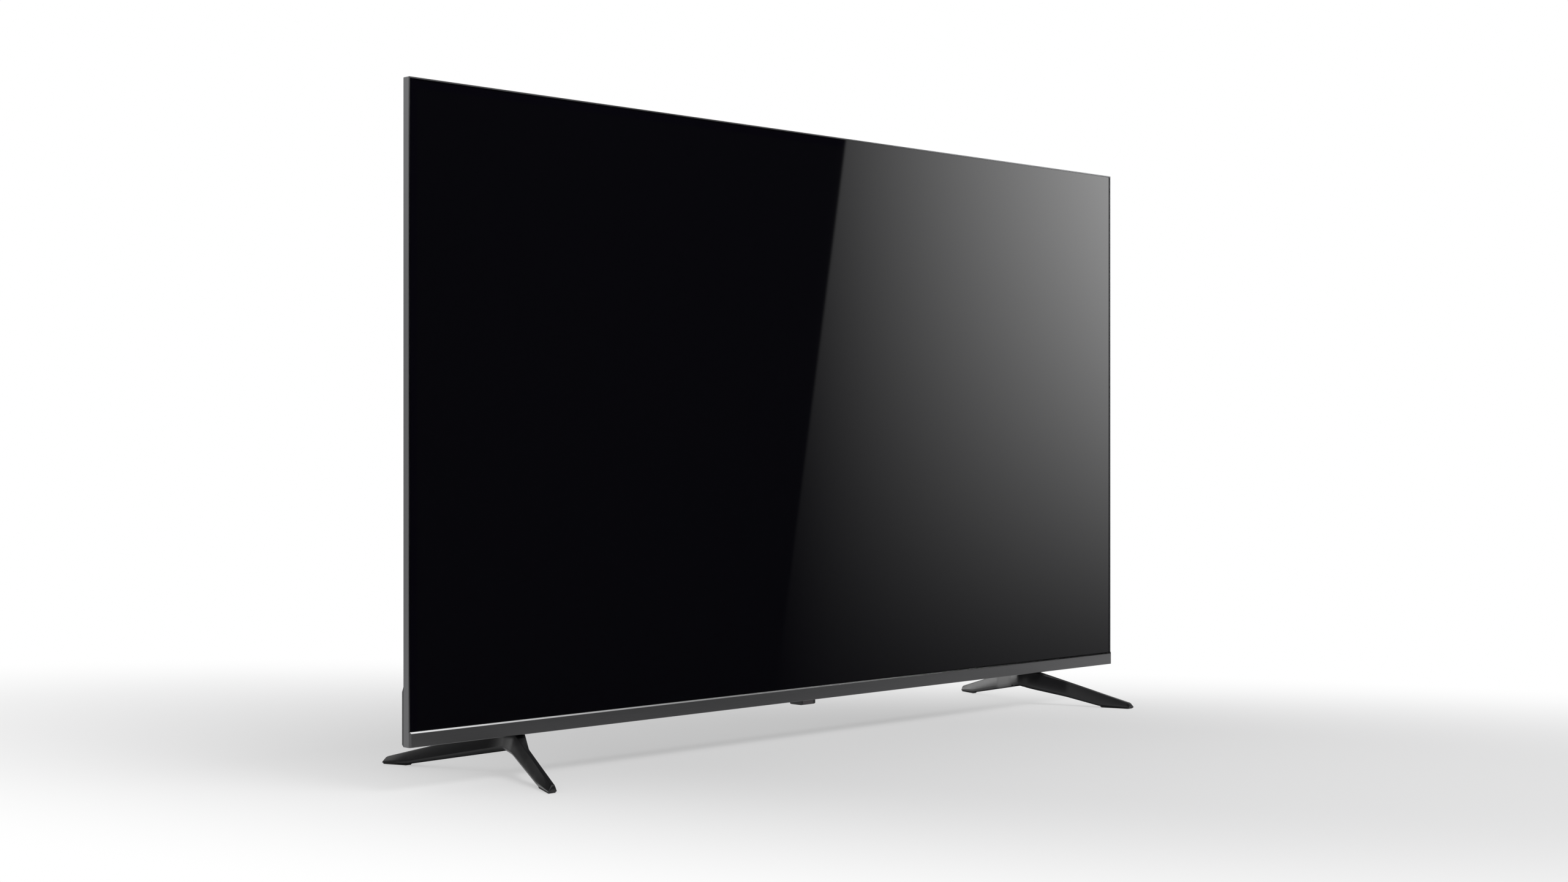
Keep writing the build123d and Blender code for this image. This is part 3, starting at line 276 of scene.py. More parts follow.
# finishes, one for each material slot of the record
finishValues = {
    "brushed_frame": {
        "low": (0.137, 0.138, 0.142), "high": (0.164, 0.165, 0.169), "patch": 3.0,
        "lines": (5, 2600, 5), "lineTone": 1.12, "rough": (0.3, 0.42), "grain": 1500.0, "depth": 0.006,
        "dust": 0.25, "fixed": {"Metallic": 1.0, "Anisotropic": 0.4},
    },
    "bezel_metal": {
        "low": (0.124, 0.124, 0.127), "high": (0.135, 0.135, 0.138), "patch": 4.0,
        "lines": (6, 1200, 1800), "lineTone": 1.06, "rough": (0.34, 0.42), "grain": 1800.0, "depth": 0.004,
        "dust": 0.2, "fixed": {"Metallic": 1.0},
    },
    "screen_glass": {
        "low": (0.0021, 0.0018, 0.0034), "high": (0.0025, 0.0022, 0.004), "patch": 2.0,
        "rough": (0.03, 0.04), "grain": 300.0, "depth": 0.0002, "dust": 0.0, "fixed": {"IOR": 1.5},
    },
    "cover_plastic": {
        "low": (0.016, 0.016, 0.018), "high": (0.022, 0.022, 0.024), "patch": 6.0, "pits": 0.8,
        "rough": (0.48, 0.62), "grain": 1100.0, "depth": 0.05, "dust": 0.16,
    },
    "black_plastic": {
        "low": (0.012, 0.012, 0.013), "high": (0.016, 0.016, 0.017),
        "rough": (0.26, 0.36), "grain": 1600.0, "depth": 0.01, "dust": 0.12,
    },
    "foot_gloss": {
        "low": (0.011, 0.011, 0.012), "high": (0.014, 0.014, 0.015), "patch": 5.0, "pits": 0.0,
        "rough": (0.21, 0.25), "grain": 150.0, "depth": 0.001, "dust": 0.015,
        "fixed": {"Specular IOR Level": 0.38},
    },
    "pad_rubber": {
        "low": (0.016, 0.016, 0.016), "high": (0.024, 0.024, 0.024), "pits": 0.6,
        "rough": (0.7, 0.85), "grain": 1400.0, "depth": 0.04,
    },
    "dark_window": {
        "low": (0.012, 0.004, 0.007), "high": (0.018, 0.006, 0.01), "patch": 40.0,
        "rough": (0.05, 0.08), "grain": 400.0, "depth": 0.001, "fixed": {"Coat Weight": 0.4},
    },
    "socket_metal": {
        "low": (0.55, 0.55, 0.57), "high": (0.68, 0.68, 0.69), "patch": 60.0,
        "rough": (0.22, 0.34), "grain": 1500.0, "depth": 0.01, "fixed": {"Metallic": 1.0},
    },
    "black_metal": {
        "low": (0.018, 0.018, 0.019), "high": (0.03, 0.03, 0.031), "patch": 90.0,
        "rough": (0.32, 0.45), "grain": 1500.0, "depth": 0.01, "fixed": {"Metallic": 0.6},
    },
    "sheet_steel": {
        "low": (0.42, 0.43, 0.44), "high": (0.58, 0.59, 0.6), "patch": 45.0,
        "rough": (0.32, 0.5), "grain": 260.0, "depth": 0.01, "fixed": {"Metallic": 1.0},
    },
    "sink_metal": {
        "low": (0.5, 0.51, 0.53), "high": (0.6, 0.61, 0.63), "lines": (1600, 1600, 8), "lineTone": 1.1,
        "rough": (0.3, 0.42), "grain": 1500.0, "depth": 0.01, "fixed": {"Metallic": 1.0},
    },
    "white_plastic": {
        "low": (0.74, 0.74, 0.71), "high": (0.82, 0.82, 0.8),
        "rough": (0.4, 0.52), "grain": 1200.0, "depth": 0.02,
    },
    "film": {
        "low": (0.7, 0.72, 0.74), "high": (0.76, 0.78, 0.8), "lines": (2200, 4, 4), "lineTone": 1.05,
        "rough": (0.12, 0.2), "grain": 900.0, "depth": 0.01,
    },
    "clear_plastic": {
        "low": (0.8, 0.82, 0.84), "high": (0.86, 0.88, 0.9),
        "rough": (0.08, 0.14), "grain": 700.0, "depth": 0.002, "fixed": {"Transmission Weight": 0.6},
    },
    "circuit_board": {
        "low": (0.012, 0.075, 0.032), "high": (0.018, 0.1, 0.045), "patch": 30.0,
        "rough": (0.24, 0.36), "grain": 900.0, "depth": 0.02, "fixed": {"Coat Weight": 0.3},
    },
    "ribbon": {
        "low": (0.62, 0.62, 0.6), "high": (0.7, 0.7, 0.68), "lines": (4, 4, 1400), "lineTone": 0.7,
        "rough": (0.4, 0.55), "grain": 1200.0, "depth": 0.03,
    },
    "amber_film": {
        "low": (0.3, 0.12, 0.012), "high": (0.4, 0.17, 0.02), "lines": (2400, 6, 6), "lineTone": 0.75,
        "rough": (0.2, 0.3), "grain": 900.0, "depth": 0.01,
    },
    "cone_paper": {
        "low": (0.02, 0.02, 0.021), "high": (0.034, 0.034, 0.034), "pits": 0.7,
        "rough": (0.75, 0.9), "grain": 1300.0, "depth": 0.08,
    },
    "magnet": {
        "low": (0.05, 0.05, 0.052), "high": (0.08, 0.08, 0.082), "patch": 70.0,
        "rough": (0.5, 0.65), "grain": 900.0, "depth": 0.04, "fixed": {"Metallic": 0.4},
    },
    "core": {
        "low": (0.1, 0.07, 0.03), "high": (0.17, 0.12, 0.045), "patch": 90.0, "lines": (4, 1300, 4),
        "lineTone": 0.8, "rough": (0.4, 0.6), "grain": 800.0, "depth": 0.05,
    },
    "sleeve": {
        "low": (0.02, 0.026, 0.05), "high": (0.03, 0.038, 0.07), "patch": 50.0,
        "rough": (0.22, 0.3), "grain": 700.0, "depth": 0.01,
    },
}
finishes = {slot: makeFinish(slot, values) for slot, values in finishValues.items()}


# the bezel's top chamfer is polished bright
chamferValues = {"colour": (0.9, 0.9, 0.91, 1), "rough": 0.12, "upFrom": 0.3, "outFrom": -0.4}


def polishChamfer(material, values):
    tree = material.node_tree
    normal = facing(tree)
    up = combine(tree, "GREATER_THAN", normal["Z"], values["upFrom"])
    out = combine(tree, "LESS_THAN", normal["Y"], values["outFrom"])
    layOver(material, combine(tree, "MULTIPLY", up, out), values["colour"], values["rough"])


polishChamfer(finishes["bezel_metal"], chamferValues)


# the chamfer's upper edge, next to the glass, is black
lipValues = {"from": 63.4, "colour": (0.008, 0.008, 0.009, 1), "rough": 0.15}


def blackenLip(material, values):
    tree = material.node_tree
    mask = combine(tree, "GREATER_THAN", objectPlace(tree)["Z"], values["from"] * mm)
    layOver(material, mask, values["colour"], values["rough"])


blackenLip(finishes["bezel_metal"], lipValues)


# behind the glass, the picture area is a touch lighter than the printed border
pictureValues = {
    "half": 604.8, "low": 64.4, "high": 744.8, "colour": (0.0026, 0.0025, 0.0036, 1), "rough": 0.035,
}


def markPicture(material, values):
    tree = material.node_tree
    where = objectPlace(tree)
    side = node(tree, "Math", {0: where["X"]}, operation="ABSOLUTE").outputs[0]
    inside = combine(tree, "LESS_THAN", side, values["half"] * mm)
    for operation, limit in (("GREATER_THAN", values["low"]), ("LESS_THAN", values["high"])):
        inside = combine(tree, "MULTIPLY", inside, combine(tree, operation, where["Z"], limit * mm))
    layOver(material, inside, values["colour"], values["rough"])


markPicture(finishes["screen_glass"], pictureValues)


# copper runs under the boards' lacquer
boardValues = {"scale": 160.0, "colour": (0.03, 0.17, 0.07, 1), "rough": 0.28, "share": 0.04}


def drawRuns(material, values):
    tree = material.node_tree
    given = {"Vector": node(tree, "TexCoord").outputs["Object"], "Scale": values["scale"]}
    cells = node(tree, "TexVoronoi", given, feature="DISTANCE_TO_EDGE")
    mask = combine(tree, "LESS_THAN", cells.outputs["Distance"], values["share"])
    layOver(material, mask, values["colour"], values["rough"])


drawRuns(finishes["circuit_board"], boardValues)


# the feet's downward faces lose their specular reflection and turn dark: painted shade under the feet
undersideShadeValues = {"from": -0.75, "to": -0.3}


def paintShadeUnderside(material, values):
    tree = material.node_tree
    level = tree.nodes["Principled BSDF"].inputs["Specular IOR Level"]
    upward = facing(tree)["Z"]
    # specular level falls to nothing on downward faces: painted shade under the feet
    feed(tree, level, mapRange(tree, upward, values["from"], values["to"], 0.0, level.default_value))


paintShadeUnderside(finishes["foot_gloss"], undersideShadeValues)


for row in frame["record"]["subparts"]:
    for slot in nodes[row["node"]].material_slots:
        slot.material = finishes[row["material_slot"]]


# mesh helpers: shapes are in millimetres until toObject scales them
def toObject(name, shape):
    shape.transform(Matrix.Scale(mm, 4))
    bmesh.ops.recalc_face_normals(shape, faces=shape.faces)
    mesh = bpy.data.meshes.new(name)
    shape.to_mesh(mesh)
    shape.free()
    made = bpy.data.objects.new(name, mesh)
    bpy.context.scene.collection.objects.link(made)
    return made


def addPiece(name, shape, slot, body="set", replaced=(), sharp=32):
    piece = toObject(name, shape)
    mesh = piece.data
    mesh.shade_smooth()
    mesh.set_sharp_from_angle(angle=math.radians(sharp))
    mesh.materials.append(finishes[slot])
    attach(piece, body)
    if replaced:
        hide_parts(*replaced)
    return piece


def carve(piece, cutterShape):
    cutter = toObject("cutter", cutterShape)
    cut = piece.modifiers.new("carve", "BOOLEAN")
    cut.operation = "DIFFERENCE"
    cut.object = cutter
    carved = bpy.data.meshes.new_from_object(piece.evaluated_get(bpy.context.evaluated_depsgraph_get()))
    piece.modifiers.clear()
    piece.data = carved
    bpy.data.objects.remove(cutter)


def stitch(shape, rings, capped=True):
    made = [[shape.verts.new(point) for point in ring] for ring in rings]
    count = len(rings[0])
    for first, second in zip(made, made[1:]):
        for i in range(count):
            j = (i + 1) % count
            shape.faces.new((first[i], first[j], second[j], second[i]))
    if capped:
        shape.faces.new(made[0][::-1])
        shape.faces.new(made[-1])


def addBox(shape, low, high, bevel=0.0):
    size = [b - a for a, b in zip(low, high)]
    middle = [(a + b) / 2 for a, b in zip(low, high)]
    matrix = Matrix.Translation(middle) @ Matrix.Diagonal((*size, 1))
    made = bmesh.ops.create_cube(shape, size=1, matrix=matrix)
    if bevel:
        edges = {edge for vert in made["verts"] for edge in vert.link_edges}
        bmesh.ops.bevel(shape, geom=list(edges), offset=bevel, segments=2, affect="EDGES", profile=0.5)


def turnedRings(profile, matrix, sides):
    turn = [2 * math.pi * i / sides for i in range(sides)]
    return [[matrix @ Vector((r * math.cos(a), r * math.sin(a), h)) for a in turn] for r, h in profile]


crossValues = {"taper": 0.55, "above": 1.0}


def addCross(shape, values, matrix):
    arm = values["crossArm"]
    half = values["crossWidth"] / 2
    outline = [(arm, -half), (arm, half), (half, half), (half, arm), (-half, arm), (-half, half)]
    outline += [(-x, -y) for x, y in outline]
    floor, top = values["head"] - values["crossDepth"], values["head"] + crossValues["above"]
    rings = []
    for share, height in ((crossValues["taper"], floor), (1.0, top)):
        rings.append([matrix @ Vector((x * share, y * share, height)) for x, y in outline])
    stitch(shape, rings)


cornerValues = {"limit": 0.42, "least": 0.01, "steps": (0.0, 0.33, 0.67, 1.0)}


def softCorners(points, radii, values):
    ring = []
    for i, point in enumerate(points):
        cuts = []
        for other in (points[i - 1], points[(i + 1) % len(points)]):
            along = other - point
            cuts.append(point + along * min(values["limit"], radii[i] / max(along.length, values["least"])))
        start, finish = cuts
        for t in values["steps"]:
            ring.append(start * (1 - t) ** 2 + point * 2 * t * (1 - t) + finish * t**2)
    return ring


# feet: two blade legs that meet in a soft bend, over an arch
footValues = {
    "bendX": 458, "bendY": -7.5, "runs": (-144, 159), "drops": (33.5, 30.0), "splay": 55.5,
    "top": 52, "tipTop": 8, "arch": 25.7, "seat": 47, "padThick": 1.5,
    "topWidth": 5, "lowWidth": 12, "flare": 5, "rootExtra": 14, "rootShare": 0.4, "edge": 0.17,
    "bend": 0.16, "rounding": (1.4, 2.0, 1.2, 1.2, 2.0, 1.4), "tipRound": 3, "sharp": 40,
    "stations": 36, "gather": 1.25, "tipStations": (3, 2.2, 1.5, 0.8, 0.3),
    "screwX": 451.25, "screwY": (-13.5, 6.5), "screwTop": 38, "boreRadius": 3.9, "boreSides": 32,
}


def legLine(values, run, share):
    bent = share if share > values["bend"] else (share**2 / values["bend"] + values["bend"]) / 2
    return values["bendX"] + values["splay"] * bent, values["bendY"] + run * share


def legTop(values, share):
    return values["top"] + (values["tipTop"] - values["top"]) * share


def legRing(values, run, drop, share, side):
    x, y = legLine(values, run, share)
    top = legTop(values, share)
    under = max(values["arch"] - drop * share, values["padThick"])
    extra = values["rootExtra"] * max(0, 1 - share / values["rootShare"])
    toEnd = abs(run) * (1 - share)
    if toEnd < values["tipRound"]:
        radius = values["tipRound"]
        top -= radius - math.sqrt(radius**2 - (radius - toEnd) ** 2)
    edge = (top - under) * values["edge"]
    outer = x + values["flare"]
    inner = outer - values["lowWidth"] - extra
    highOuter, highInner = x, x - values["topWidth"] - extra
    if top > values["seat"]:
        level = (values["seat"] - under - edge) / (top - under - edge)
        highOuter = outer + (highOuter - outer) * level
        highInner = inner + (highInner - inner) * level
        top = values["seat"]
    corners = (
        (highOuter, top), (outer, under + edge), (outer - edge, under),
        (inner + edge, under), (inner, under + edge), (highInner, top),
    )
    ring = softCorners([Vector(c) for c in corners], values["rounding"], cornerValues)
    return [Vector((side * p[0], y, p[1])) for p in ring]


def makeFoot(name, replaced, side, values):
    shape = bmesh.new()
    count = values["stations"]
    (frontRun, backRun), (frontDrop, backDrop) = values["runs"], values["drops"]
    shares = [(i / count) ** values["gather"] for i in range(count + 1)]
    tips = [1 - toEnd / abs(frontRun) for toEnd in values["tipStations"]]
    shares = sorted([s for s in shares if s < tips[0]] + tips + [1])
    rings = [legRing(values, frontRun, frontDrop, s, side) for s in shares[::-1]]
    rings += [legRing(values, backRun, backDrop, s, side) for s in shares[1:]]
    stitch(shape, rings)
    foot = addPiece(name, shape, "foot_gloss", replaced=(replaced,), sharp=values["sharp"])
    bores = bmesh.new()
    profile = [(values["boreRadius"], values[key]) for key in ("padThick", "screwTop")]
    for y in values["screwY"]:
        spot = Matrix.Translation((side * values["screwX"], y, 0))
        stitch(bores, turnedRings(profile, spot, values["boreSides"]))
    carve(foot, bores)


padValues = {
    "inset": 0.2,
    "stations": ((0.0, 0.9), (0.05, 0.0), (0.95, 0.0), (0.985, 0.5)),  # share of the length, lift
}


def makePads(name, replaced, values, foot):
    shape = bmesh.new()
    thick = foot["padThick"]
    for side in (-1, 1):
        for run, drop in zip(foot["runs"], foot["drops"]):
            start = (foot["arch"] - thick) / drop
            rings = []
            for along, lift in values["stations"]:
                share = start + (1 - start) * along
                x, y = legLine(foot, run, share)
                edge = (legTop(foot, share) - thick) * foot["edge"] + values["inset"]
                outer = x + foot["flare"] - edge
                inner = x + foot["flare"] - foot["lowWidth"] + edge
                low = lift * thick
                corners = ((outer, low), (inner, low), (inner, thick), (outer, thick))
                rings.append([Vector((side * cx, y, cz)) for cx, cz in corners])
            stitch(shape, rings)
    addPiece(name, shape, "pad_rubber", replaced=(replaced,))


makePads("footPadSet", "foot_pads", padValues, footValues)
makeFoot("leftFootBlade", "left_foot", -1, footValues)
makeFoot("rightFootBlade", "right_foot", 1, footValues)
print("feet ready")


# screws with a cross recess: five in the cover, two under each foot
coverScrewValues = {
    "places": [(-557.5, 698), (0, 698), (557.5, 698), (-557.5, 406.75), (557.5, 406.75)],
    "front": -16.1, "shank": 1.9, "radius": 3.6, "head": 5.2, "headThick": 1.8, "dome": 0.5,
    "crossArm": 2.0, "crossWidth": 0.9, "crossDepth": 1.3,
}
footScrewValues = {
    "start": 54.5, "shank": 2.0, "radius": 3.6, "head": 19.1, "headThick": 2.6, "dome": 0.7,
    "crossArm": 2.1, "crossWidth": 1.0, "crossDepth": 1.5,
}
screwHeadValues = {
    "neckIn": 0.2, "neckUp": 0.3, "rimDown": 0.1, "rimIn": 0.25, "rimUp": 0.15,
    "shoulder": 0.75, "shoulderDrop": 0.3, "flat": 0.45, "sides": 28, "sharp": 35,
}


def screwProfile(values, form):
    head, rim = values["head"], values["radius"]
    under, shoulder = head - values["headThick"], head - values["dome"]
    return [
        (values["shank"], 0), (values["shank"], under),
        (rim - form["neckIn"], under), (rim, under + form["neckUp"]),
        (rim, shoulder - form["rimDown"]), (rim - form["rimIn"], shoulder + form["rimUp"]),
        (rim * form["shoulder"], head - values["dome"] * form["shoulderDrop"]), (rim * form["flat"], head),
    ]


def makeScrews(name, replaced, matrices, values, form):
    shape, crosses = bmesh.new(), bmesh.new()
    for matrix in matrices:
        stitch(shape, turnedRings(screwProfile(values, form), matrix, form["sides"]))
        addCross(crosses, values, matrix)
    carve(addPiece(name, shape, "black_metal", replaced=(replaced,), sharp=form["sharp"]), crosses)


toBack = Matrix.Rotation(math.radians(-90), 4, "X")  # a screw's own height then runs to +Y
coverSpots = [
    Matrix.Translation((x, coverScrewValues["front"], z)) @ toBack for x, z in coverScrewValues["places"]
]
makeScrews("coverScrewSet", "cover_screws", coverSpots, coverScrewValues, screwHeadValues)
toFloor = Matrix.Rotation(math.radians(180), 4, "X")
footSpots = [
    Matrix.Translation((side * footValues["screwX"], y, footScrewValues["start"])) @ toFloor
    for side in (-1, 1)
    for y in footValues["screwY"]
]
makeScrews("footScrewSet", "foot_screws", footSpots, footScrewValues, screwHeadValues)
print("screws ready")


# inside the sockets: tongues, contacts and liners, placed by the record's openings
contactValues = {"width": 0.42, "proud": 0.06, "bevel": 0.05}


def openingBox(name):
    low, high = openings[name]
    return [v / mm for v in low], [v / mm for v in high]


def addContacts(shape, span, count, low, high):
    pitch = (span[1] - span[0]) / count
    half = contactValues["width"] / 2
    for i in range(count):
        middle = span[0] + pitch * (i + 0.5)
        addBox(shape, (*low, middle - half), (*high, middle + half), contactValues["bevel"])


tongueValues = {
    "kinds": {
        "video": {"thick": 1.2, "side": 1.9, "lift": 1.5, "contacts": 9, "stop": 1.4, "liner": 1.5},
        "data": {"thick": 1.7, "side": 0.9, "lift": 0.7, "contacts": 4, "stop": 1.2},
    },
    "back": 0.3, "bevel": 0.25, "contactShort": 0.6, "contactInset": 0.5, "linerLean": 1.4,
}


def makeTongues(values):
    tongues, contacts, liners = bmesh.new(), bmesh.new(), bmesh.new()
    inset, proud = values["contactInset"], contactValues["proud"]
    for name in openings:
        own = values["kinds"].get(name.split("_")[0])
        if own is None:
            continue
        low, high = openingBox(name)
        start, stop = low[0] + values["back"], high[0] - own["stop"]
        floor = low[1] + own["lift"]
        span = (low[2] + own["side"], high[2] - own["side"])
        addBox(tongues, (start, floor, span[0]), (stop, floor + own["thick"], span[1]), values["bevel"])
        for face in (floor - proud, floor + own["thick"]):
            box = ((start, face), (stop - values["contactShort"], face + proud))
            addContacts(contacts, (span[0] + inset, span[1] - inset), own["contacts"], *box)
        if "liner" in own:
            roof, thick = high[1], own["liner"]
            for end, inward in ((low[2], 1), (high[2], -1)):
                lean = end + inward * thick * values["linerLean"]
                corners = [(roof, end), (roof, lean), (roof - thick, end)]
                stitch(liners, [[Vector((x, y, z)) for y, z in corners] for x in (low[0], high[0])])
    addPiece("socketTongues", tongues, "black_plastic")
    addPiece("socketContacts", contacts, "socket_metal")
    addPiece("videoLiners", liners, "socket_metal")


makeTongues(tongueValues)


networkValues = {
    "wall": 0.9, "gap": 0.05, "open": 0.4, "bevel": 0.15, "notchHalf": 3.2, "notchDeep": 1.8,
    "comb": 1.6, "combBevel": 0.2, "contacts": 8, "contactSide": 2.2, "contactRise": 0.5, "stop": 4.2,
}


def makeNetworkInsert(values):
    low, high = openingBox("network_socket_1")
    gap, wall, bevel = values["gap"], values["wall"], values["bevel"]
    insert, contacts = bmesh.new(), bmesh.new()
    start, stop = low[0] + gap, high[0] - values["open"]
    under, over = low[1] + gap, high[1] - gap
    floor, roof = low[1] + wall, high[1] - values["notchDeep"]
    left, right = low[2] + wall, high[2] - wall
    middle, half = (low[2] + high[2]) / 2, values["notchHalf"]
    addBox(insert, (start, under, low[2] + gap), (stop, over, left), bevel)
    addBox(insert, (start, under, right), (stop, over, high[2] - gap), bevel)
    addBox(insert, (start, under, left), (stop, floor, right), bevel)
    for end, inner in ((left, middle - half), (right, middle + half)):
        addBox(insert, (start, roof, min(end, inner)), (stop, over, max(end, inner)), bevel)
    comb = low[0] + values["comb"]
    addBox(insert, (start, floor, left), (comb, roof, right), values["combBevel"])
    span = (low[2] + values["contactSide"], high[2] - values["contactSide"])
    box = ((comb, floor), (high[0] - values["stop"], floor + values["contactRise"]))
    addContacts(contacts, span, values["contacts"], *box)
    addPiece("networkInsert", insert, "black_plastic")
    addPiece("networkContacts", contacts, "socket_metal")


makeNetworkInsert(networkValues)


opticalValues = {
    "inset": 1.6, "thick": 0.9, "gap": 0.15, "bevel": 0.25,
    "grip": 1.2, "gripSunk": 0.2, "gripProud": 0.35, "gripLow": 0.6, "gripHigh": 1.3, "gripBevel": 0.15,
}


def makeOpticalShutter(values):
    low, high = openingBox("optical_socket_1")
    shape = bmesh.new()
    gap = values["gap"]
    face = high[0] - values["inset"]
    addBox(
        shape,
        (face - values["thick"], low[1] + gap, low[2] + gap),
        (face, high[1] - gap, high[2] - gap),
        values["bevel"],
    )
    middle = (low[2] + high[2]) / 2
    addBox(
        shape,
        (face - values["gripSunk"], low[1] + gap + values["gripLow"], middle - values["grip"]),
        (face + values["gripProud"], low[1] + gap + values["gripHigh"], middle + values["grip"]),
        values["gripBevel"],
    )
    addPiece("opticalShutter", shape, "black_plastic")


makeOpticalShutter(opticalValues)


pinValues = {
    "radius": 1.28, "root": -418.0, "length": 9.4, "y": 2.5, "z": 171, "pitch": 8.6,
    "nose": ((1.0, 1.1), (0.9, 0.5), (0.65, 0.15), (0.3, 0.0)),  # share of the radius, back from the end
    "sides": 24, "sharp": 50,
}
aerialValues = {
    "radius": 2.55, "bore": 0.9, "root": 384.2, "length": 8.6, "y": 0.25, "z": 299,
    "lip": 0.3, "lipRise": 0.25, "sides": 32, "sharp": 40,
}


def makePinSleeves(values):
    shape = bmesh.new()
    toLeft = Matrix.Rotation(math.radians(-90), 4, "Y")
    radius, end = values["radius"], values["length"]
    profile = [(radius, 0)] + [(radius * share, end - back) for share, back in values["nose"]]
    for side in (-1, 1):
        spot = Matrix.Translation((values["root"], values["y"], values["z"] + side * values["pitch"] / 2))
        stitch(shape, turnedRings(profile, spot @ toLeft, values["sides"]))
    addPiece("inletPinSleeves", shape, "socket_metal", sharp=values["sharp"])


def makeAerialCore(values):
    shape = bmesh.new()
    toRight = Matrix.Rotation(math.radians(90), 4, "Y")
    radius, bore, end, lip = (values[key] for key in ("radius", "bore", "length", "lip"))
    rise = end + values["lipRise"]
    profile = [(bore, end), (bore + lip, rise), (radius - lip, rise), (radius, end), (radius, 0), (bore, 0)]
    spot = Matrix.Translation((values["root"], values["y"], values["z"])) @ toRight
    rings = turnedRings(profile, spot, values["sides"])
    stitch(shape, rings + rings[:1], capped=False)
    bmesh.ops.remove_doubles(shape, verts=shape.verts, dist=0.001)
    addPiece("aerialCore", shape, "white_plastic", sharp=values["sharp"])


makePinSleeves(pinValues)
makeAerialCore(aerialValues)
print("socket details ready")


# speaker cones: a long cone with a rolled surround and a raised cap, facing down behind the slots
coneValues = {
    "x": 320, "y": 5.5, "halfLength": 31.5, "halfWidth": 12, "turnSteps": 10, "sharp": 45,
    "profile": [  # inset from the edge, height
        (0, 57.3), (0, 55.6), (0.7, 54.9), (1.5, 54.72), (2.3, 54.9), (2.9, 55.5),
        (3.4, 55.6), (7.2, 56.8), (7.6, 56.7), (8.4, 56.1), (9.6, 55.7), (11, 55.5),
    ],
}


def trackRing(values, side, inset, z):
    width = values["halfWidth"] - inset
    straight = values["halfLength"] - values["halfWidth"]
    steps = values["turnSteps"]
    ring = []
    for end in (1, -1):
        for i in range(steps + 1):
            a = math.pi * (i / steps - 0.5)
            x = side * values["x"] + end * (straight + width * math.cos(a))
            ring.append(Vector((x, values["y"] + end * width * math.sin(a), z)))
    return ring


def makeCone(name, body, replaced, side, values):
    shape = bmesh.new()
    stitch(shape, [trackRing(values, side, inset, z) for inset, z in values["profile"]])
    addPiece(name, shape, "cone_paper", body=body, replaced=(replaced,), sharp=values["sharp"])


makeCone("leftCone", "left_cone", "left_speaker_cone", -1, coneValues)
makeCone("rightCone", "right_cone", "right_speaker_cone", 1, coneValues)
print("cones ready")


# studio: a pale lit floor that fades to white outside a turned ellipse, in metres and radians; inside the
# ellipse, what the camera and mirrors see is partly a dimmer grey glow, a painted soft shadow around the
# set that also lightens the floor's real shadows
floorValues = {
    "half": 14, "colour": (0.581, 0.581, 0.585), "rough": 0.9, "specular": 0.1,
    "centre": (0.089, -0.390), "turn": -1.147, "reach": (2.208, 0.975),
    "fadeFrom": 0.252, "share": 0.397, "tone": 0.882,
}


def makeMesh(name, corners, material):
    mesh = bpy.data.meshes.new(name)
    mesh.from_pydata(corners, [], [tuple(range(len(corners)))])
    mesh.materials.append(material)
    made = bpy.data.objects.new(name, mesh)
    bpy.context.scene.collection.objects.link(made)
    return made


def seenDirectly(tree):
    path = node(tree, "LightPath").outputs
    seen = combine(tree, "MAXIMUM", path["Is Camera Ray"], path["Is Glossy Ray"])
    return combine(tree, "MAXIMUM", seen, path["Is Transmission Ray"])


def makeFloor(values):
    material = bpy.data.materials.new("floorWithPaintedShadow")
    material.use_nodes = True
    tree = material.node_tree
    shader = tree.nodes["Principled BSDF"]
    shader.inputs["Base Color"].default_value = (*values["colour"], 1)
    shader.inputs["Roughness"].default_value = values["rough"]
    shader.inputs["Specular IOR Level"].default_value = values["specular"]
    shadowEllipse = {
        "Vector": node(tree, "TexCoord").outputs["Object"],
        "Location": (*values["centre"], 0),
        "Rotation": (0, 0, values["turn"]),
        "Scale": (*values["reach"], 1),
    }
    placed = node(tree, "Mapping", vector_type="TEXTURE")
    for name, value in shadowEllipse.items():
        feed(tree, placed.inputs[name], value)
    distance = node(tree, "VectorMath", {0: placed.outputs[0]}, operation="LENGTH").outputs["Value"]
    fade = mapRange(tree, distance, values["fadeFrom"], 1.0, smooth=True)
    # grey glow inside the ellipse and white outside it: a painted shadow around the set
    glow = node(tree, "Emission", {"Color": (1, 1, 1, 1)})
    feed(tree, glow.inputs["Strength"], scaled(tree, fade, 1 - values["tone"], values["tone"]))
    share = scaled(tree, fade, 1 - values["share"], values["share"])
    share = combine(tree, "MULTIPLY", share, seenDirectly(tree))
    blend = node(tree, "MixShader", {0: share, 1: shader.outputs[0], 2: glow.outputs[0]})
    # clear from below, so that the set's underside can be seen
    below = node(tree, "NewGeometry").outputs["Backfacing"]
    clear = node(tree, "BsdfTransparent")
    blend = node(tree, "MixShader", {0: below, 1: blend.outputs[0], 2: clear.outputs[0]})
    feed(tree, tree.nodes["Material Output"].inputs["Surface"], blend.outputs[0])
    half = values["half"]
    makeMesh("floor", [(-half, -half, 0), (half, -half, 0), (half, half, 0), (-half, half, 0)], material)


makeFloor(floorValues)


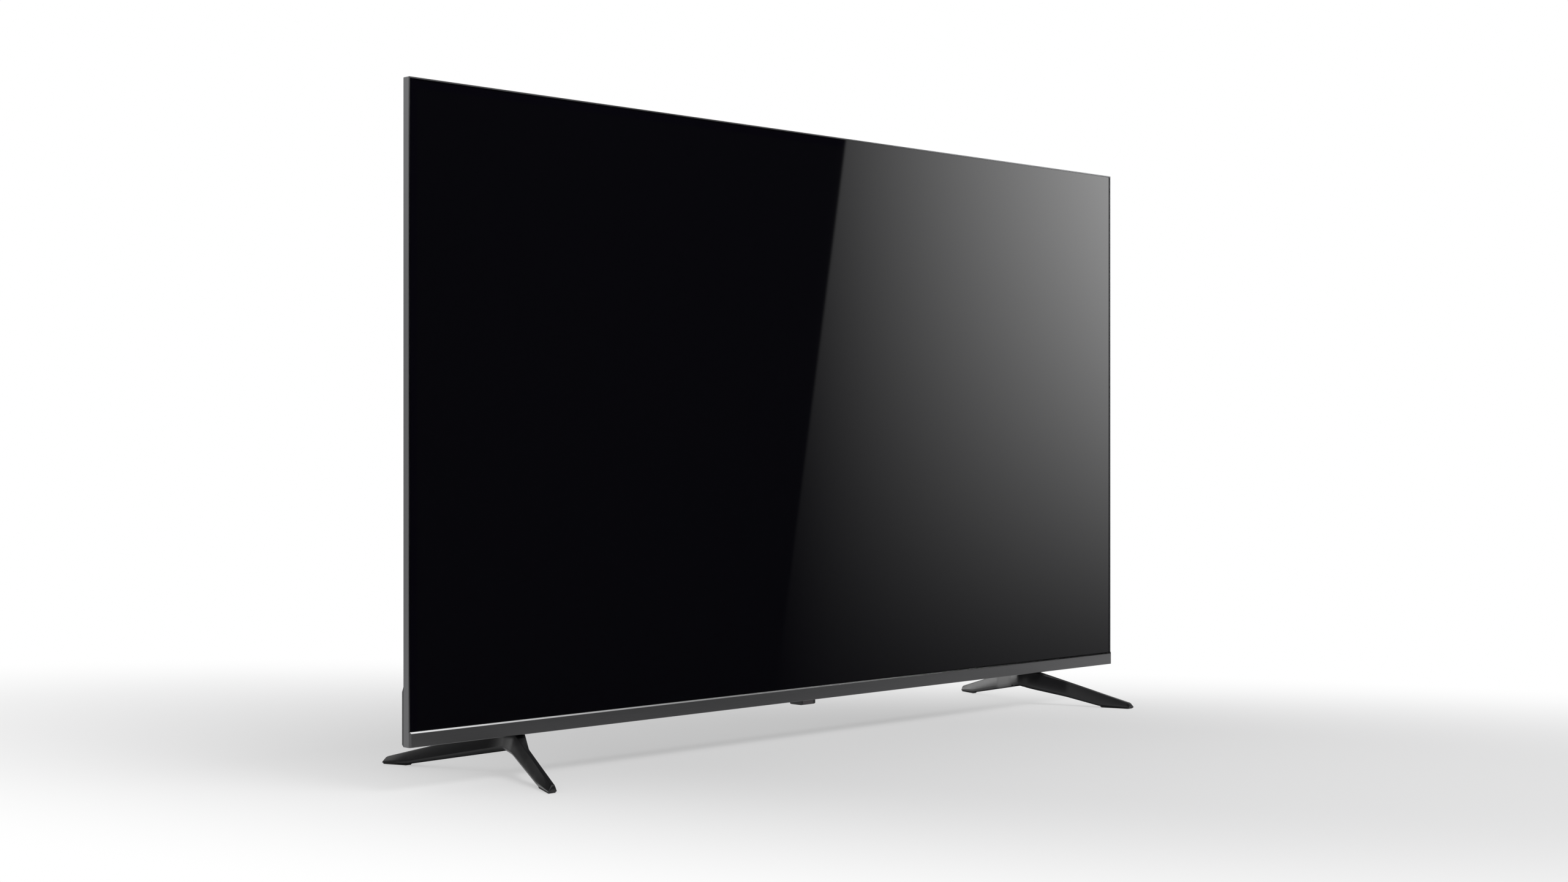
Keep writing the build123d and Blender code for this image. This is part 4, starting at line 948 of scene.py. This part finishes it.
# cards that only mirrored light sees, in millimetres
def makeCard(name, corners, strength):
    material = bpy.data.materials.new(name)
    material.use_nodes = True
    tree = material.node_tree
    tree.nodes.remove(tree.nodes["Principled BSDF"])
    light = node(tree, "Emission", {"Color": (1, 1, 1, 1)})
    feed(tree, light.inputs["Strength"], strength(tree) if callable(strength) else strength)
    feed(tree, tree.nodes["Material Output"].inputs["Surface"], light.outputs[0])
    card = makeMesh(name, [[v * mm for v in corner] for corner in corners], material)
    card.visible_camera = False
    card.visible_diffuse = False
    card.visible_transmission = False
    card.visible_volume_scatter = False
    card.visible_shadow = False


def cardCorners(left, right, low, high):
    return (left, low), (right, low), (right, high), (left, high)


def upright(values):
    corners = cardCorners(*(values[key] for key in ("start", "stop", "low", "high")))
    if "x" in values:
        return [(values["x"], y, z) for y, z in corners]
    return [(x, values["y"], z) for x, z in corners]


# places on the glass where the camera sees the card's slanted edge and its glow
screenCardValues = {
    "y": -400, "glassY": -38.5, "left": -1500, "right": 650, "low": 61, "high": 775,
    "edgeLow": (-69.2, 83.8), "edgeHigh": (54, 754.2), "edgeSoft": 6, "brightX": 80, "bright": 0.46,
    "slope": 2.98, "fadeLow": -53, "fadeHigh": 947, "base": 0.08, "gain": 2.2,
}


def makeScreenCard(values):
    eye = Vector(cameraValues["place"])
    toGlass = values["glassY"] - eye.y
    reach = (toGlass + values["glassY"] - values["y"]) / toGlass

    def mirrored(x, z):
        return eye.x + (x - eye.x) * reach, values["y"], eye.z + (z - eye.z) * reach

    def glow(tree):
        where = objectPlace(tree)
        x = scaled(tree, where["X"], 1 / reach, eye.x * mm * (1 - 1 / reach))
        z = scaled(tree, where["Z"], 1 / reach, eye.z * mm * (1 - 1 / reach))
        (lowX, lowZ), (highX, highZ) = values["edgeLow"], values["edgeHigh"]
        lean = (highX - lowX) / (highZ - lowZ)
        edge = scaled(tree, z, lean, (lowX - lowZ * lean) * mm)
        past = combine(tree, "SUBTRACT", x, edge)
        lit = mapRange(tree, past, 0.0, values["edgeSoft"] * mm, smooth=True)
        atMiddle = values["bright"] - values["slope"] * values["brightX"] * mm
        across = scaled(tree, x, values["slope"], atMiddle)
        rise = mapRange(tree, z, values["fadeLow"] * mm, values["fadeHigh"] * mm, smooth=True)
        rise = scaled(tree, rise, values["gain"], values["base"])
        return combine(tree, "MULTIPLY", lit, combine(tree, "MULTIPLY", across, rise))

    corners = cardCorners(*(values[key] for key in ("left", "right", "low", "high")))
    makeCard("screenCard", [mirrored(x, z) for x, z in corners], glow)


makeScreenCard(screenCardValues)


# brightens the chamfer towards the right
chamferCardValues = {
    "x": 1500, "start": -1150, "stop": -150, "low": 450, "high": 3600,
    "bright": 0.83, "brightAt": 2895, "power": 2.4, "fadeLow": 900, "fadeHigh": 1500,
}


def makeChamferCard(values):
    def glow(tree):
        height = objectPlace(tree)["Z"]
        share = combine(tree, "DIVIDE", height, values["brightAt"] * mm)
        light = combine(tree, "MULTIPLY", combine(tree, "POWER", share, values["power"]), values["bright"])
        fade = mapRange(tree, height, values["fadeLow"] * mm, values["fadeHigh"] * mm, smooth=True)
        return combine(tree, "MULTIPLY", light, fade)

    makeCard("chamferCard", upright(values), glow)


makeChamferCard(chamferCardValues)


# darkens the left foot's back leg
leftFlagValues = {"x": -1500, "start": 0, "stop": 1450, "low": 1, "high": 700, "dark": 300}


def makeLeftFlag(values):
    def glow(tree):
        return mapRange(tree, objectPlace(tree)["Y"], values["dark"] * mm, values["stop"] * mm, smooth=True)

    makeCard("leftFlag", upright(values), glow)


makeLeftFlag(leftFlagValues)


# darkens the left foot's front leg
backFlagValues = {"y": 1100, "start": -740, "stop": -60, "low": 1, "high": 600, "strength": 0.0}
makeCard("backFlag", upright(backFlagValues), backFlagValues["strength"])


# lights the right foot's back leg
backStripValues = {"y": 1200, "start": -40, "stop": 460, "low": 1, "high": 260, "strength": 3.0}
makeCard("backStrip", upright(backStripValues), backStripValues["strength"])


# lamps and white surroundings, in metres
lampValues = {
    "key": {"place": (0.2, -1.9, 3.2), "size": 1.6, "power": 55},
    "back": {"place": (-2.0, 1.5, 3.0), "size": 2.6, "power": 12},
}
lampAim = (0, 0, 0.25)
worldValues = {"ambient": 0.75, "white": 1.0}


def makeLamp(name, values):
    data = bpy.data.lights.new(name, "AREA")
    data.size = values["size"]
    data.energy = values["power"]
    lamp = bpy.data.objects.new(name, data)
    lamp.location = values["place"]
    towards = Vector(lampAim) - Vector(values["place"])
    lamp.rotation_euler = towards.to_track_quat("-Z", "Y").to_euler()
    bpy.context.scene.collection.objects.link(lamp)


def makeWorld(values):
    world = bpy.data.worlds.new("studio")
    world.use_nodes = True
    tree = world.node_tree
    background = tree.nodes["Background"]
    background.inputs["Color"].default_value = (1, 1, 1, 1)
    strength = mapRange(tree, seenDirectly(tree), 0.0, 1.0, values["ambient"], values["white"])
    feed(tree, background.inputs["Strength"], strength)
    bpy.context.scene.world = world


for name, values in lampValues.items():
    makeLamp(name, values)
makeWorld(worldValues)
bpy.context.scene.view_settings.view_transform = "Standard"
print("studio ready")
